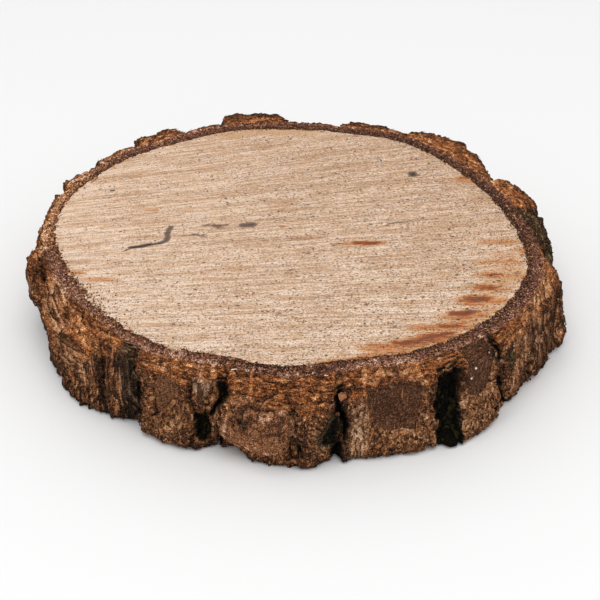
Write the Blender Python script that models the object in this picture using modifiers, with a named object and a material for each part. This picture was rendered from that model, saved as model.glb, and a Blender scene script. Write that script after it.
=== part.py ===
"""A slice of a small tree trunk, lying on its sawn face: a pale wood disc inside its ring of rough bark.

Metres, +Z up, at real size. The origin is on the underside, in the middle of the slice's outline.
-Y is the front, where the deepest mossy fissures are.
"""

import math
from collections import namedtuple

import bpy
from mathutils import Vector, noise

MM = 0.001

# The wood: millimetres, angles anticlockwise from +X
THICKNESS = 40.0
WOOD_RADII = (
    104.6, 101.8, 101.7, 104.5, 107.5, 105.0, 105.2, 107.2, 105.6, 107.1, 107.5, 107.6,
    105.5, 101.0, 100.0, 101.6, 103.5, 101.6, 105.3, 104.3, 108.4, 110.4, 111.0, 109.8,
)
WOOD_POINTS = 240

# The bark: millimetres, and degrees where a name says so
GAP = 0.3
SAWN_BAND = 7.3
SAWN_BAND_SHARE = 0.75
FLOOR_CLEARANCE = 0.3
HEM_LIFT = 0.5
HEM_ROUNDING = 1.0
HEM_HEIGHT = 2.6
CORNER_ROUNDING = 0.8
CORNER_SHARE = 0.18
CORNER_WIDTH = 2.0
WALL_SOFTNESS = 0.9
FOOT_FILL = 0.45
FOOT_HEIGHT = 9.0
ROUGHNESS = 0.8
ROUGHNESS_LENGTH = 7.0
ROUGHNESS_DRAWN_UP = 0.4
LEDGE_WANDER = 5.0
LEDGE_LENGTH = 8.0
LEDGE_FADE = 2.0
DROP_WANDER = 0.35
DROP_LENGTH = 10.0
DROP_EVENED_SHARE = 0.25
SHOULDER_BEND = 1.4
HEM_EVENNESS = 0.6
HEM_LENGTH = 12.0
FISSURE_SWAY_DEGREES = 0.8
FISSURE_WAVES = 1.2
FISSURE_TURN_EACH = 1.7

# The ring that the bark is raised from, and how its cross-section is divided
RING_RADIUS = 115.0
RING_THICKNESS = 10.0
COLUMNS = 360
WALL_PACKING = 2.2
SHARE_STEPS = 120
SAWN_SHARE = 0.5
TOP_SHARES = (0.0, SAWN_SHARE, 0.76, 1.0)
FACE_HEIGHTS = (0.94, 0.83, 0.71, 0.59, 0.47, 0.35, 0.23, 0.12, 0.03)
BOTTOM_SHARES = (0.9, 0.45, 0.0)

# One plate of bark for each line, anticlockwise. start: where the fissure before it lies, in degrees, at
# half height; lean: how many degrees further round that fissure is at the top than at the bottom; width:
# of that fissure; floor: the bark left in it; near and far: from the wood to the plate's face at its start
# and at its end; drop: from the sawn face down to the plate's top edge; ledge: the height where its face
# breaks; step: how much further out it stands below that break. All but start and lean are millimetres.
Plate = namedtuple("Plate", "start lean width floor near far drop ledge step")
PLATES = (
    Plate(11.0, 0.5, 2.0, 14.0, 18.8, 19.8, 2.0, 24.0, 1.0),
    Plate(29.0, 0.0, 4.0, 8.5, 13.0, 22.0, 1.5, 18.0, -0.8),
    Plate(45.0, -1.0, 1.6, 17.0, 23.4, 19.2, 1.5, 27.0, 0.9),
    Plate(59.0, 0.6, 4.0, 8.5, 16.0, 17.2, 2.0, 16.0, 1.0),
    Plate(76.5, 0.0, 3.0, 8.0, 10.0, 12.0, 2.0, 22.0, 0.8),
    Plate(90.5, 1.0, 2.6, 9.0, 20.2, 23.0, 1.6, 20.0, -1.4),
    Plate(106.0, -0.6, 2.6, 8.5, 13.4, 10.6, 2.0, 26.0, 1.2),
    Plate(117.2, 0.0, 2.6, 8.5, 22.0, 17.2, 1.6, 15.0, -1.0),
    Plate(131.0, 0.8, 4.0, 8.0, 12.9, 12.2, 2.0, 24.0, 1.2),
    Plate(144.8, 0.0, 3.0, 7.0, 10.0, 12.2, 2.5, 18.0, 1.4),
    Plate(156.4, -0.8, 3.0, 6.0, 8.0, 6.5, 3.0, 28.0, 1.6),
    Plate(172.5, 0.0, 2.6, 5.5, 6.5, 8.0, 3.5, 20.0, 1.4),
    Plate(185.5, 0.0, 3.0, 8.0, 13.5, 16.0, 3.5, 16.0, -9.5),
    Plate(194.0, 2.0, 2.4, 9.0, 15.0, 14.6, 6.0, 14.0, -5.0),
    Plate(200.5, 0.0, 1.6, 11.5, 13.8, 13.6, 13.0, 12.0, -0.4),
    Plate(212.5, 0.0, 1.4, 12.8, 14.8, 13.6, 9.0, 9.0, 1.0),
    Plate(227.5, 0.0, 2.2, 8.0, 12.0, 8.2, 4.0, 14.0, 0.0),
    Plate(238.0, 0.4, 2.6, 6.5, 10.6, 12.8, 5.0, 18.0, 0.6),
    Plate(250.6, 0.6, 1.8, 9.0, 11.5, 9.4, 4.5, 20.0, -1.2),
    Plate(256.2, 2.4, 2.8, 6.0, 12.6, 14.2, 7.5, 29.0, 1.6),
    Plate(271.5, -1.0, 1.8, 12.6, 14.8, 14.2, 7.0, 27.0, 2.2),
    Plate(281.0, 0.4, 4.0, 8.0, 13.8, 13.0, 4.5, 11.0, 1.0),
    Plate(302.4, 0.2, 9.2, 10.0, 16.6, 12.6, 3.0, 15.0, 1.6),
    Plate(317.6, -5.0, 2.8, 6.5, 11.2, 10.2, 5.0, 12.0, -0.8),
    Plate(330.0, 0.0, 2.0, 9.0, 11.4, 13.4, 4.5, 20.0, 1.2),
    Plate(342.0, 0.5, 2.2, 9.0, 13.4, 14.0, 4.5, 26.0, 1.6),
    Plate(354.5, 0.0, 2.6, 10.5, 16.6, 18.8, 7.0, 18.0, 1.0),
)

# Swellings and hollows of the face. angle and height: its middle; across, in degrees, and up: how far it
# reaches to each side; lift: how far it stands out there, and below 0 how deep it is.
Lump = namedtuple("Lump", "angle height across up lift")
LUMPS = (
    Lump(195.5, 18.0, 6.0, 10.0, -3.0),
    Lump(219.5, 4.0, 6.0, 11.0, 2.0),
    Lump(230.0, 2.0, 2.5, 9.0, 1.4),
    Lump(235.0, 2.0, 3.6, 8.0, -2.2),
    Lump(251.0, 2.0, 3.0, 8.0, 4.4),
    Lump(259.2, 1.0, 4.6, 10.0, -6.0),
    Lump(274.0, 4.0, 4.6, 10.0, 2.4),
    Lump(281.2, 1.0, 2.4, 7.0, 3.4),
    Lump(292.5, 2.0, 5.0, 7.0, -0.8),
    Lump(302.3, 1.0, 4.2, 9.0, 5.0),
    Lump(303.2, 1.0, 2.2, 9.0, 9.0),
    Lump(318.6, 1.0, 3.4, 9.0, -3.0),
    Lump(344.5, 4.0, 6.0, 14.0, 2.2),
    Lump(350.0, 9.0, 10.0, 20.0, 4.6),
    Lump(350.6, 38.0, 5.0, 11.0, -4.2),
    Lump(351.5, 22.0, 3.5, 8.0, 3.2),
    Lump(357.0, 38.0, 8.0, 14.0, -6.0),
    Lump(150.6, 38.0, 3.0, 9.0, 2.0),
)

# Colours as linear red, green and blue
WOOD_COLOUR = (0.72, 0.53, 0.37)
BARK_COLOUR = (0.16, 0.08, 0.045)


def clear_scene():
    for obj in list(bpy.data.objects):
        bpy.data.objects.remove(obj)


def material(name, colour, roughness):
    made = bpy.data.materials.new(name)
    made.use_nodes = True
    made.diffuse_color = (*colour, 1.0)
    surface = made.node_tree.nodes["Principled BSDF"]
    surface.inputs["Base Color"].default_value = (*colour, 1.0)
    surface.inputs["Roughness"].default_value = roughness
    surface.inputs["Metallic"].default_value = 0.0
    return made


def smooth(low, high, value):
    """0 up to low, 1 from high, and an even curve between."""
    share = min(1.0, max(0.0, (value - low) / (high - low)))
    return share * share * (3.0 - 2.0 * share)


def wood_radius(degrees):
    """The wood's radius: a smooth closed curve through WOOD_RADII."""
    count = len(WOOD_RADII)
    place = degrees / 360.0 * count
    first = math.floor(place)
    share = place - first
    before, here, there, after = (WOOD_RADII[(first + k) % count] for k in (-1, 0, 1, 2))
    bend = 2.0 * before - 5.0 * here + 4.0 * there - after
    twist = 3.0 * (here - there) + after - before
    return here + 0.5 * share * (there - before + share * (bend + share * twist))


def turn_between(degrees, other):
    """The signed angle from other to degrees, within half a turn."""
    return (degrees - other + 180.0) % 360.0 - 180.0


def plate_number(index):
    """The plate at that place in the ring, counting on past the last."""
    return PLATES[index % len(PLATES)]


def fissure_angle(index, height):
    """Where a fissure lies at a height: it leans, and wanders to either side of its plate's start."""
    plate = plate_number(index)
    share = height / THICKNESS
    wave = math.sin(FISSURE_WAVES * math.tau * share + FISSURE_TURN_EACH * index)
    return plate.start + plate.lean * (share - 0.5) + FISSURE_SWAY_DEGREES * wave


def ring_spot(degrees, height):
    """A place on the ring, where the bark's unevenness is read."""
    turn = math.radians(degrees)
    return Vector((RING_RADIUS * math.cos(turn), RING_RADIUS * math.sin(turn), height))


def column_places():
    """The plate and the share of its width for each column, closer together on the walls of the fissures."""
    steps = []
    for index in range(len(PLATES)):
        plate, after = plate_number(index), plate_number(index + 1)
        wide = math.radians((after.start - plate.start) % 360.0) * RING_RADIUS
        for k in range(SHARE_STEPS):
            share = (k + 0.5) / SHARE_STEPS
            near = math.exp(-((share * wide - plate.width / 2.0) ** 2))
            far = math.exp(-(((1.0 - share) * wide - after.width / 2.0) ** 2))
            weight = wide / SHARE_STEPS * (1.0 + WALL_PACKING * (near + far))
            steps.append((weight, index, k / SHARE_STEPS))
    spacing = sum(step[0] for step in steps) / COLUMNS
    places = []
    passed = 0.0
    for weight, index, share in steps:
        while passed + weight > len(places) * spacing and len(places) < COLUMNS:
            within = (len(places) * spacing - passed) / weight
            places.append((index, share + within / SHARE_STEPS))
        passed += weight
    return places


def lump_rise(degrees, height):
    """How far the swellings and hollows lift the face at one place."""
    rise = 0.0
    for lump in LUMPS:
        aside = turn_between(degrees, lump.angle) / lump.across
        above = (height - lump.height) / lump.up
        rise += lump.lift * smooth(1.0, 0.0, math.hypot(aside, above))
    return rise


def bark_thickness(index, share, degrees, height):
    """From the wood to the bark's outer face, at a share of a plate's width."""
    plate, after = plate_number(index), plate_number(index + 1)
    gap = (fissure_angle(index + 1, height) - fissure_angle(index, height)) % 360.0
    wide = math.radians(gap) * RING_RADIUS
    ledge = plate.ledge + LEDGE_WANDER * noise.noise(ring_spot(degrees, 0.0) / LEDGE_LENGTH)
    face = plate.near + (plate.far - plate.near) * share
    face += plate.step * smooth(ledge + LEDGE_FADE, ledge - LEDGE_FADE, height)
    face += lump_rise(degrees, height)
    thick = face
    for side, place in ((plate, share * wide), (after, (1.0 - share) * wide)):
        from_wall = place - side.width / 2.0
        corner = CORNER_ROUNDING + CORNER_SHARE * max(0.0, face - side.floor)
        thick -= corner * math.exp(-max(from_wall, 0.0) / CORNER_WIDTH)
        sunk = smooth(WALL_SOFTNESS, -WALL_SOFTNESS, from_wall)
        floor = side.floor + FOOT_FILL * max(0.0, face - side.floor) * smooth(FOOT_HEIGHT, 0.0, height)
        if thick > floor:
            thick -= (thick - floor) * sunk
    spot = ring_spot(degrees, ROUGHNESS_DRAWN_UP * height)
    return thick + ROUGHNESS * noise.noise(spot / ROUGHNESS_LENGTH)


def top_drop(index, share, degrees):
    """How far a plate's top edge lies below the sawn face, evened out from plate to plate."""
    here = plate_number(index).drop
    before = (plate_number(index - 1).drop + here) / 2.0
    beyond = (plate_number(index + 1).drop + here) / 2.0
    drop = before + (here - before) * smooth(0.0, DROP_EVENED_SHARE, share)
    drop += (beyond - here) * smooth(1.0 - DROP_EVENED_SHARE, 1.0, share)
    return drop * (1.0 + DROP_WANDER * noise.noise(ring_spot(degrees, 0.0) / DROP_LENGTH))


def bark_point(place, across, rise):
    """A point of the bark: across goes from the wood (0) to the outer face (1), rise from bottom to top."""
    index, share = place
    leaning = min(1.0, across / SAWN_SHARE)
    height = THICKNESS * (0.5 + (rise - 0.5) * leaning)
    start = fissure_angle(index, height)
    degrees = start + share * ((fissure_angle(index + 1, height) - start) % 360.0)
    thick = bark_thickness(index, share, degrees, height) - GAP
    band = min(SAWN_BAND, SAWN_BAND_SHARE * thick)
    if across <= SAWN_SHARE:
        out = band * across / SAWN_SHARE
        fall = 0.0
    else:
        beyond = (across - SAWN_SHARE) / (1.0 - SAWN_SHARE)
        out = band + (thick - band) * beyond
        fall = top_drop(index, share, degrees) * beyond**SHOULDER_BEND
    lift = HEM_LIFT * (HEM_EVENNESS + noise.noise(ring_spot(degrees, THICKNESS / 2.0) / HEM_LENGTH))
    low = FLOOR_CLEARANCE + max(0.0, lift) * across**3
    up = low + rise * (THICKNESS - fall - low)
    out -= HEM_ROUNDING * smooth(HEM_HEIGHT, 0.0, up) * across**3
    radius = wood_radius(degrees) + GAP + out
    turn = math.radians(degrees)
    return Vector((radius * math.cos(turn), radius * math.sin(turn), up))


def add_wood(collection):
    """The sawn disc: a flat closed outline with a thickness."""
    curve = bpy.data.curves.new("wood", "CURVE")
    curve.dimensions = "2D"
    curve.fill_mode = "BOTH"
    curve.extrude = THICKNESS * MM / 2.0
    outline = curve.splines.new("POLY")
    outline.points.add(WOOD_POINTS - 1)
    outline.use_cyclic_u = True
    for index, point in enumerate(outline.points):
        degrees = 360.0 * index / WOOD_POINTS
        radius = wood_radius(degrees) * MM
        turn = math.radians(degrees)
        point.co = (radius * math.cos(turn), radius * math.sin(turn), 0.0, 1.0)
    disc = bpy.data.objects.new("wood", curve)
    disc.location.z = THICKNESS * MM / 2.0
    disc.data.materials.append(material("wood", WOOD_COLOUR, 0.75))
    collection.objects.link(disc)
    return disc


def ring_profile():
    """The ring's cross-section: over the top, down the outer side and back along the bottom."""
    shares = [(share, 1.0) for share in TOP_SHARES]
    shares += [(1.0, height) for height in FACE_HEIGHTS]
    shares += [(share, 0.0) for share in BOTTOM_SHARES]
    return [(RING_RADIUS + RING_THICKNESS * share, 0.0, THICKNESS * height) for share, height in shares]


def add_bark(collection):
    """The bark: a turned ring, whose points are then raised into plates and fissures by bark_point."""
    points = ring_profile()
    edges = [(index, (index + 1) % len(points)) for index in range(len(points))]
    mesh = bpy.data.meshes.new("bark")
    mesh.from_pydata(points, edges, [])
    ring = bpy.data.objects.new("bark", mesh)
    collection.objects.link(ring)
    turned = ring.modifiers.new("turned", "SCREW")
    turned.axis = "Z"
    turned.angle = math.tau
    turned.steps = COLUMNS
    turned.render_steps = COLUMNS
    turned.use_merge_vertices = True
    turned.merge_threshold = 0.0001
    bpy.context.view_layer.objects.active = ring
    bpy.ops.object.modifier_apply(modifier=turned.name)
    places = column_places()
    for vertex in ring.data.vertices:
        x, y, z = vertex.co
        column = round(math.atan2(y, x) / math.tau * COLUMNS) % COLUMNS
        across = (math.hypot(x, y) - RING_RADIUS) / RING_THICKNESS
        vertex.co = MM * bark_point(places[column], min(1.0, max(0.0, across)), z / THICKNESS)
    ring.data.materials.append(material("bark", BARK_COLOUR, 0.9))
    ring.data.shade_smooth()
    ring.data.set_sharp_from_angle(angle=math.radians(50.0))
    return ring


def centre_outline(bark, others):
    """Slides everything so that the middle of the bark's outline is at the origin."""
    xs = [vertex.co.x for vertex in bark.data.vertices]
    ys = [vertex.co.y for vertex in bark.data.vertices]
    shift = Vector((-(min(xs) + max(xs)) / 2.0, -(min(ys) + max(ys)) / 2.0, 0.0))
    for obj in [bark, *others]:
        obj.location += shift


def main():
    clear_scene()
    collection = bpy.data.collections.new("wood_slice")
    bpy.context.scene.collection.children.link(collection)
    wood = add_wood(collection)
    bark = add_bark(collection)
    centre_outline(bark, [wood])


main()
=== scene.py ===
"""A slice of a small tree trunk as it looks: a pale sawn disc with saw marks, dark specks and rusty stains,
inside a ring of torn and fissured bark with sawdust, loose fibres and moss.

Lengths are millimetres up to the last step, where they become metres. Angles are degrees, anticlockwise
from +X as seen from above. -Y is the side that the camera sees.
"""

import math
from collections import namedtuple

import bpy
import numpy as np
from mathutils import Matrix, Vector, noise


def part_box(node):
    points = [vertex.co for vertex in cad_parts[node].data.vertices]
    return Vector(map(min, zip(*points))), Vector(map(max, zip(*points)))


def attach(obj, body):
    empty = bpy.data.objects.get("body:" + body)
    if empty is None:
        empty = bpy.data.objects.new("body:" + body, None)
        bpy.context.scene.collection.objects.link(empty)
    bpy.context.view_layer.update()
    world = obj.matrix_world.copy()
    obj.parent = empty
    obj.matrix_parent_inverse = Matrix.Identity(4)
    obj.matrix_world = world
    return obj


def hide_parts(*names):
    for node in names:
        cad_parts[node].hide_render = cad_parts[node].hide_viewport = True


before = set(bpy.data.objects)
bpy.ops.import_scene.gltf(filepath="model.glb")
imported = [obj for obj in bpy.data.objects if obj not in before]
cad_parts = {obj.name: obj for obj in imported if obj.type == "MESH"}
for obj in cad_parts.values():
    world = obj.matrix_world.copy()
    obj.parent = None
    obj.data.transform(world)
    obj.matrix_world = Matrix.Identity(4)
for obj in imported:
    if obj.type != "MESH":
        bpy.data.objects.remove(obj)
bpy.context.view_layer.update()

MM = 0.001
PER_METRE = 1000.0

# The wood's outline
THICKNESS = 40.0
WOOD_RADII = (
    104.6, 101.8, 101.7, 104.5, 107.5, 105.0, 105.2, 107.2, 105.6, 107.1, 107.5, 107.6,
    105.5, 101.0, 100.0, 101.6, 103.5, 101.6, 105.3, 104.3, 108.4, 110.4, 111.0, 109.8,
)
OUTLINE_POINTS = 3600

# The sawn face: the saw's marks fan out from a point far to the left of the slice
SAW_PIVOT = (-754.0, -121.0)
SAW_REACH = 765.0
WOOD_ROWS = 400
WOOD_COLUMNS = 170
EDGE_WANDER = 0.9
EDGE_WANDER_LEFT = 1.6

# Marks on the sawn face: rust round a darker core, grey and brown tracks, and a warm tint towards the bark.
# strength: how dark it is; width: from its middle line to its edge; points: where that line runs.
Mark = namedtuple("Mark", "kind strength width points")
MARKS = (
    Mark("rust", 0.5, 2.2, ((91.3, -8.1), (100.3, -8.1))),
    Mark("rust", 0.45, 2.0, ((88.2, -25.5), (101.9, -25.5))),
    Mark("rust", 0.5, 2.6, ((88.5, -36.5), (100.1, -37.3))),
    Mark("core", 0.8, 1.6, ((89.4, -36.1), (91.0, -36.1))),
    Mark("rust", 0.6, 1.8, ((83.1, -47.1), (92.9, -47.9))),
    Mark("core", 0.95, 1.9, ((86.0, -47.1), (88.4, -47.1))),
    Mark("rust", 0.6, 2.2, ((78.4, -56.7), (91.0, -57.5))),
    Mark("core", 1.0, 2.3, ((80.6, -55.9), (83.0, -55.9))),
    Mark("core", 0.5, 0.8, ((77.2, -60.3), (82.3, -60.3))),
    Mark("rust", 0.6, 2.4, ((70.5, -69.2), (81.5, -68.4))),
    Mark("core", 1.0, 2.2, ((73.4, -67.6), (76.4, -66.6))),
    Mark("core", 0.5, 0.8, ((70.8, -71.1), (76.7, -70.7))),
    Mark("rust", 0.7, 2.4, ((57.4, -78.3), (75.6, -78.3))),
    Mark("core", 0.9, 1.5, ((64.5, -77.2), (71.6, -76.4))),
    Mark("core", 1.0, 2.0, ((48.9, -89.4), (54.3, -87.9), (60.2, -85.0), (66.6, -82.8))),
    Mark("rust", 0.8, 3.0, ((38.6, -93.0), (48.8, -90.8), (63.4, -87.2))),
    Mark("core", 0.5, 1.0, ((39.4, -91.6), (48.1, -89.7))),
    Mark("rust", 0.6, 2.5, ((18.1, -103.7), (26.2, -102.3), (39.2, -96.6), (54.9, -91.6))),
    Mark("rust", 0.6, 1.6, ((104.5, -14.3), (106.8, -17.8))),
    Mark("core", 1.0, 1.5, ((32.6, -9.0), (38.6, -9.0))),
    Mark("rust", 0.6, 1.3, ((27.0, -9.4), (41.5, -9.0))),
    Mark("grey", 0.55, 0.5, ((20.3, -9.9), (25.9, -9.4))),
    Mark("grey", 0.5, 0.7, ((46.5, 8.2), (51.2, 9.6), (56.3, 10.5))),
    Mark("grey", 0.9, 1.9, ((60.7, 57.5), (60.8, 56.0))),
    Mark("core", 0.6, 1.3, ((85.8, 52.9), (89.1, 52.9))),
    Mark("rust", 0.5, 2.6, ((85.1, 50.9), (89.8, 49.8))),
    Mark("grey", 0.55, 0.6, ((-72.5, -16.0), (-70.0, -13.8))),
    Mark("grey", 1.0, 1.1, ((-69.6, -13.0), (-65.7, -12.1), (-61.3, -10.3))),
    Mark("grey", 0.8, 0.8, ((-61.3, -10.3), (-56.9, -9.4))),
    Mark("grey", 0.68, 1.35, ((-56.9, -9.0), (-54.4, -7.2), (-53.7, -3.6), (-54.3, -0.9), (-53.7, 3.6), (-53.0, 5.5))),
    Mark("grey", 0.72, 2.0, ((-20.0, 6.9), (-15.6, 7.5))),
    Mark("brown", 0.6, 0.8, ((-37.9, 6.4), (-34.7, 7.3), (-27.9, 7.3))),
    Mark("brown", 0.7, 1.3, ((-32.9, 6.4), (-31.0, 5.5))),
    Mark("brown", 0.6, 0.7, ((-42.5, -0.9), (-36.9, -3.6))),
    Mark("brown", 0.35, 0.9, ((-49.2, -2.7), (-37.0, -2.3))),
    Mark("rust", 0.5, 0.8, ((-64.3, 20.9), (-61.9, 20.9))),
    Mark("core", 0.5, 0.6, ((-1.9, 5.9), (-1.2, 5.9))),
    Mark("rust", 0.42, 1.8, ((-83.7, -39.8), (-78.0, -40.6))),
    Mark("brown", 0.35, 1.0, ((-99.0, -25.5), (-88.4, -25.5))),
    Mark("rust", 0.5, 1.6, ((-96.2, -34.0), (-91.7, -34.8))),
    Mark("grey", 0.8, 0.8, ((-83.7, 40.3), (-82.9, 40.3))),
    Mark("tint", 0.5, 5.0, ((-32.0, 100.1), (-14.3, 103.5), (6.1, 103.5))),
    Mark("tint", 0.3, 6.0, ((70.3, 6.4), (84.3, 10.1))),
    Mark("rust", 0.27, 5.0, ((97.0, -20.0), (95.0, -40.0), (86.0, -60.0))),
    Mark("rust", 0.34, 5.0, ((84.0, -63.0), (72.0, -77.0), (56.0, -89.0))),
)
MARK_KINDS = tuple(sorted({mark.kind for mark in MARKS}))
MARK_STRETCH = {"rust": 0.4, "core": 0.5, "tint": 0.5, "brown": 0.8, "grey": 1.0}
MARK_RAGGED = {"rust": 1.0, "core": 1.0, "tint": 1.0, "brown": 0.8, "grey": 0.35}

# The bark
SAWN_BAND = 7.6
BAND_WANDER = 1.5
NARROWED_LEFT = 2.8
LEAST_SHOULDER = 1.4
FLOOR_CLEARANCE = 0.3
BAND_DROOP = 0.5
INNER_TUCK = 0.8
INNER_DROP = 0.45
HEM_LIFT = 0.5
HEM_ROUNDING = 1.0
CORNER_ROUNDING = 0.8
CORNER_SHARE = 0.18
CORNER_WIDTH = 2.0
FOOT_FILL = 0.45
TOP_FILL = 0.4
LEDGE_WANDER = 5.0
LEDGE_FADE = 2.0
FISSURE_SWAY = 0.8
SWAYING_WIDTH = 3.0
UNROLLED_RADIUS = 115.0
WALL_PACKING = 1.6
EVEN_SINKING = 0.85
OUT_SCALE = 20.0
STRANDS_EACH_RADIAN = 20.0
BROAD_STEPS = 5

# How far the finish looks round each point to tell crests, where it paints highlight, from hollows, where it paints
# shade: name, steps of the mesh, strength
HOLLOWS = (("crest", 2, 0.9), ("swell", 5, 0.6), ("deep", 11, 0.32))

# One plate of bark for each line, anticlockwise. start: where the fissure before it lies, in degrees, at
# half height; lean: how many degrees further round that fissure is at the top than at the bottom; width:
# of that fissure; floor: the bark left in it; near and far: from the wood to the plate's face at its start
# and at its end; drop: from the sawn face down to the plate's top edge; ledge: the height where its face
# breaks; step: how much further out it stands below that break; ridge: how high its upright ribs are;
# moss: how much of it grows in the fissure.
Plate = namedtuple("Plate", "start lean width floor near far drop ledge step ridge moss")
PLATES = (
    Plate(11.0, 0.5, 2.0, 14.0, 18.8, 19.8, 2.0, 24.0, 1.0, 0.5, 0.5),
    Plate(29.0, 0.0, 4.0, 8.5, 13.0, 22.0, 1.5, 18.0, -0.8, 0.5, 0.3),
    Plate(45.0, -1.0, 1.6, 17.0, 23.4, 19.2, 1.5, 27.0, 0.9, 0.5, 0.2),
    Plate(59.0, 0.6, 4.0, 8.5, 16.0, 17.2, 2.0, 16.0, 1.0, 0.6, 0.5),
    Plate(76.5, 0.0, 3.0, 8.0, 10.0, 12.0, 2.0, 22.0, 0.8, 0.8, 0.3),
    Plate(90.5, 1.0, 2.6, 9.0, 20.2, 23.0, 1.6, 20.0, -1.4, 0.5, 0.6),
    Plate(106.0, -0.6, 2.6, 8.5, 13.4, 10.6, 2.0, 26.0, 1.2, 0.6, 0.4),
    Plate(117.2, 0.0, 2.6, 8.5, 22.0, 17.2, 1.6, 15.0, -1.0, 0.6, 0.5),
    Plate(131.0, 0.8, 4.0, 8.0, 12.9, 12.2, 2.0, 24.0, 1.2, 0.6, 0.6),
    Plate(144.8, 0.0, 3.0, 7.0, 10.0, 12.2, 2.5, 18.0, 1.4, 0.8, 0.3),
    Plate(156.4, -0.8, 3.0, 6.0, 8.0, 6.5, 3.0, 28.0, 1.6, 0.8, 0.4),
    Plate(172.5, 0.0, 2.6, 5.5, 6.5, 8.0, 3.5, 20.0, 1.4, 0.8, 0.5),
    Plate(185.5, 0.0, 3.0, 8.0, 13.5, 16.0, 3.5, 16.0, -9.5, 1.3, 0.4),
    Plate(194.0, 2.0, 2.4, 9.0, 15.0, 14.6, 6.0, 14.0, -5.0, 1.3, 0.5),
    Plate(200.5, 0.0, 1.6, 11.5, 13.8, 13.6, 13.0, 12.0, -0.4, 0.9, 0.1),
    Plate(212.5, 0.0, 1.4, 12.8, 14.8, 13.6, 9.0, 9.0, 1.0, 1.3, 0.1),
    Plate(227.5, 0.0, 2.2, 8.0, 12.0, 8.2, 4.0, 14.0, 0.0, 1.5, 0.4),
    Plate(238.0, 0.4, 2.6, 6.5, 10.6, 12.8, 5.0, 18.0, 0.6, 0.3, 0.4),
    Plate(250.6, 0.6, 1.8, 9.0, 11.5, 9.4, 4.5, 20.0, -1.2, 0.6, 0.4),
    Plate(256.2, 2.4, 2.8, 6.0, 12.6, 14.2, 7.5, 29.0, 1.6, 0.3, 0.8),
    Plate(271.5, -1.0, 1.8, 12.6, 14.8, 14.2, 7.0, 27.0, 2.2, 0.4, 0.3),
    Plate(281.0, 0.4, 4.0, 8.0, 13.8, 13.0, 4.5, 11.0, 1.0, 0.3, 1.0),
    Plate(302.4, 0.2, 9.2, 10.0, 16.6, 12.6, 3.0, 15.0, 1.6, 0.3, 1.0),
    Plate(317.6, -5.0, 2.8, 6.5, 11.2, 10.2, 5.0, 12.0, -0.8, 0.4, 1.0),
    Plate(330.0, 0.0, 2.0, 9.0, 11.4, 13.4, 4.5, 20.0, 1.2, 1.5, 0.2),
    Plate(342.0, 0.5, 2.2, 9.0, 13.4, 14.0, 4.5, 26.0, 1.6, 1.8, 0.3),
    Plate(354.5, 0.0, 2.6, 10.5, 16.6, 18.8, 7.0, 18.0, 1.0, 0.5, 0.6),
)

# Swellings and hollows of the face. angle and height: its middle; across, in degrees, and up: how far it
# reaches to each side; lift: how far it stands out there, and below 0 how deep it is.
Lump = namedtuple("Lump", "angle height across up lift")
LUMPS = (
    Lump(195.5, 18.0, 6.0, 10.0, -3.0),
    Lump(219.5, 4.0, 6.0, 11.0, 2.0),
    Lump(230.0, 2.0, 2.5, 9.0, 1.4),
    Lump(235.0, 2.0, 3.6, 8.0, -2.2),
    Lump(251.0, 2.0, 3.0, 8.0, 4.4),
    Lump(259.2, 1.0, 4.6, 10.0, -6.0),
    Lump(274.0, 4.0, 4.6, 10.0, 2.4),
    Lump(281.2, 1.0, 2.4, 7.0, 3.4),
    Lump(292.5, 2.0, 5.0, 7.0, -0.8),
    Lump(302.3, 1.0, 4.2, 9.0, 5.0),
    Lump(303.2, 1.0, 2.2, 9.0, 9.0),
    Lump(318.6, 1.0, 3.4, 9.0, -3.0),
    Lump(344.5, 4.0, 6.0, 14.0, 2.2),
    Lump(350.0, 9.0, 10.0, 20.0, 4.6),
    Lump(350.6, 38.0, 5.0, 11.0, -4.2),
    Lump(351.5, 22.0, 3.5, 8.0, 3.2),
    Lump(357.0, 38.0, 8.0, 14.0, -6.0),
    Lump(150.6, 38.0, 3.0, 9.0, 2.0),
)

# The ring is made in three lengths, which meet in fissures. first and last: their plates; grain: how far
# apart the columns of points are; the rest: how many rows cross the sawn band, the torn shoulder, the
# face, the underside and the wall against the wood.
Length = namedtuple("Length", "name first last grain band shoulder face under wall")
LENGTHS = (
    Length("bark_left", 12, 19, 0.36, 18, 24, 84, 4, 2),
    Length("bark_front", 19, 26, 0.36, 18, 24, 84, 4, 2),
    Length("bark_back", 26, 39, 0.6, 12, 16, 50, 4, 2),
)
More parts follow.
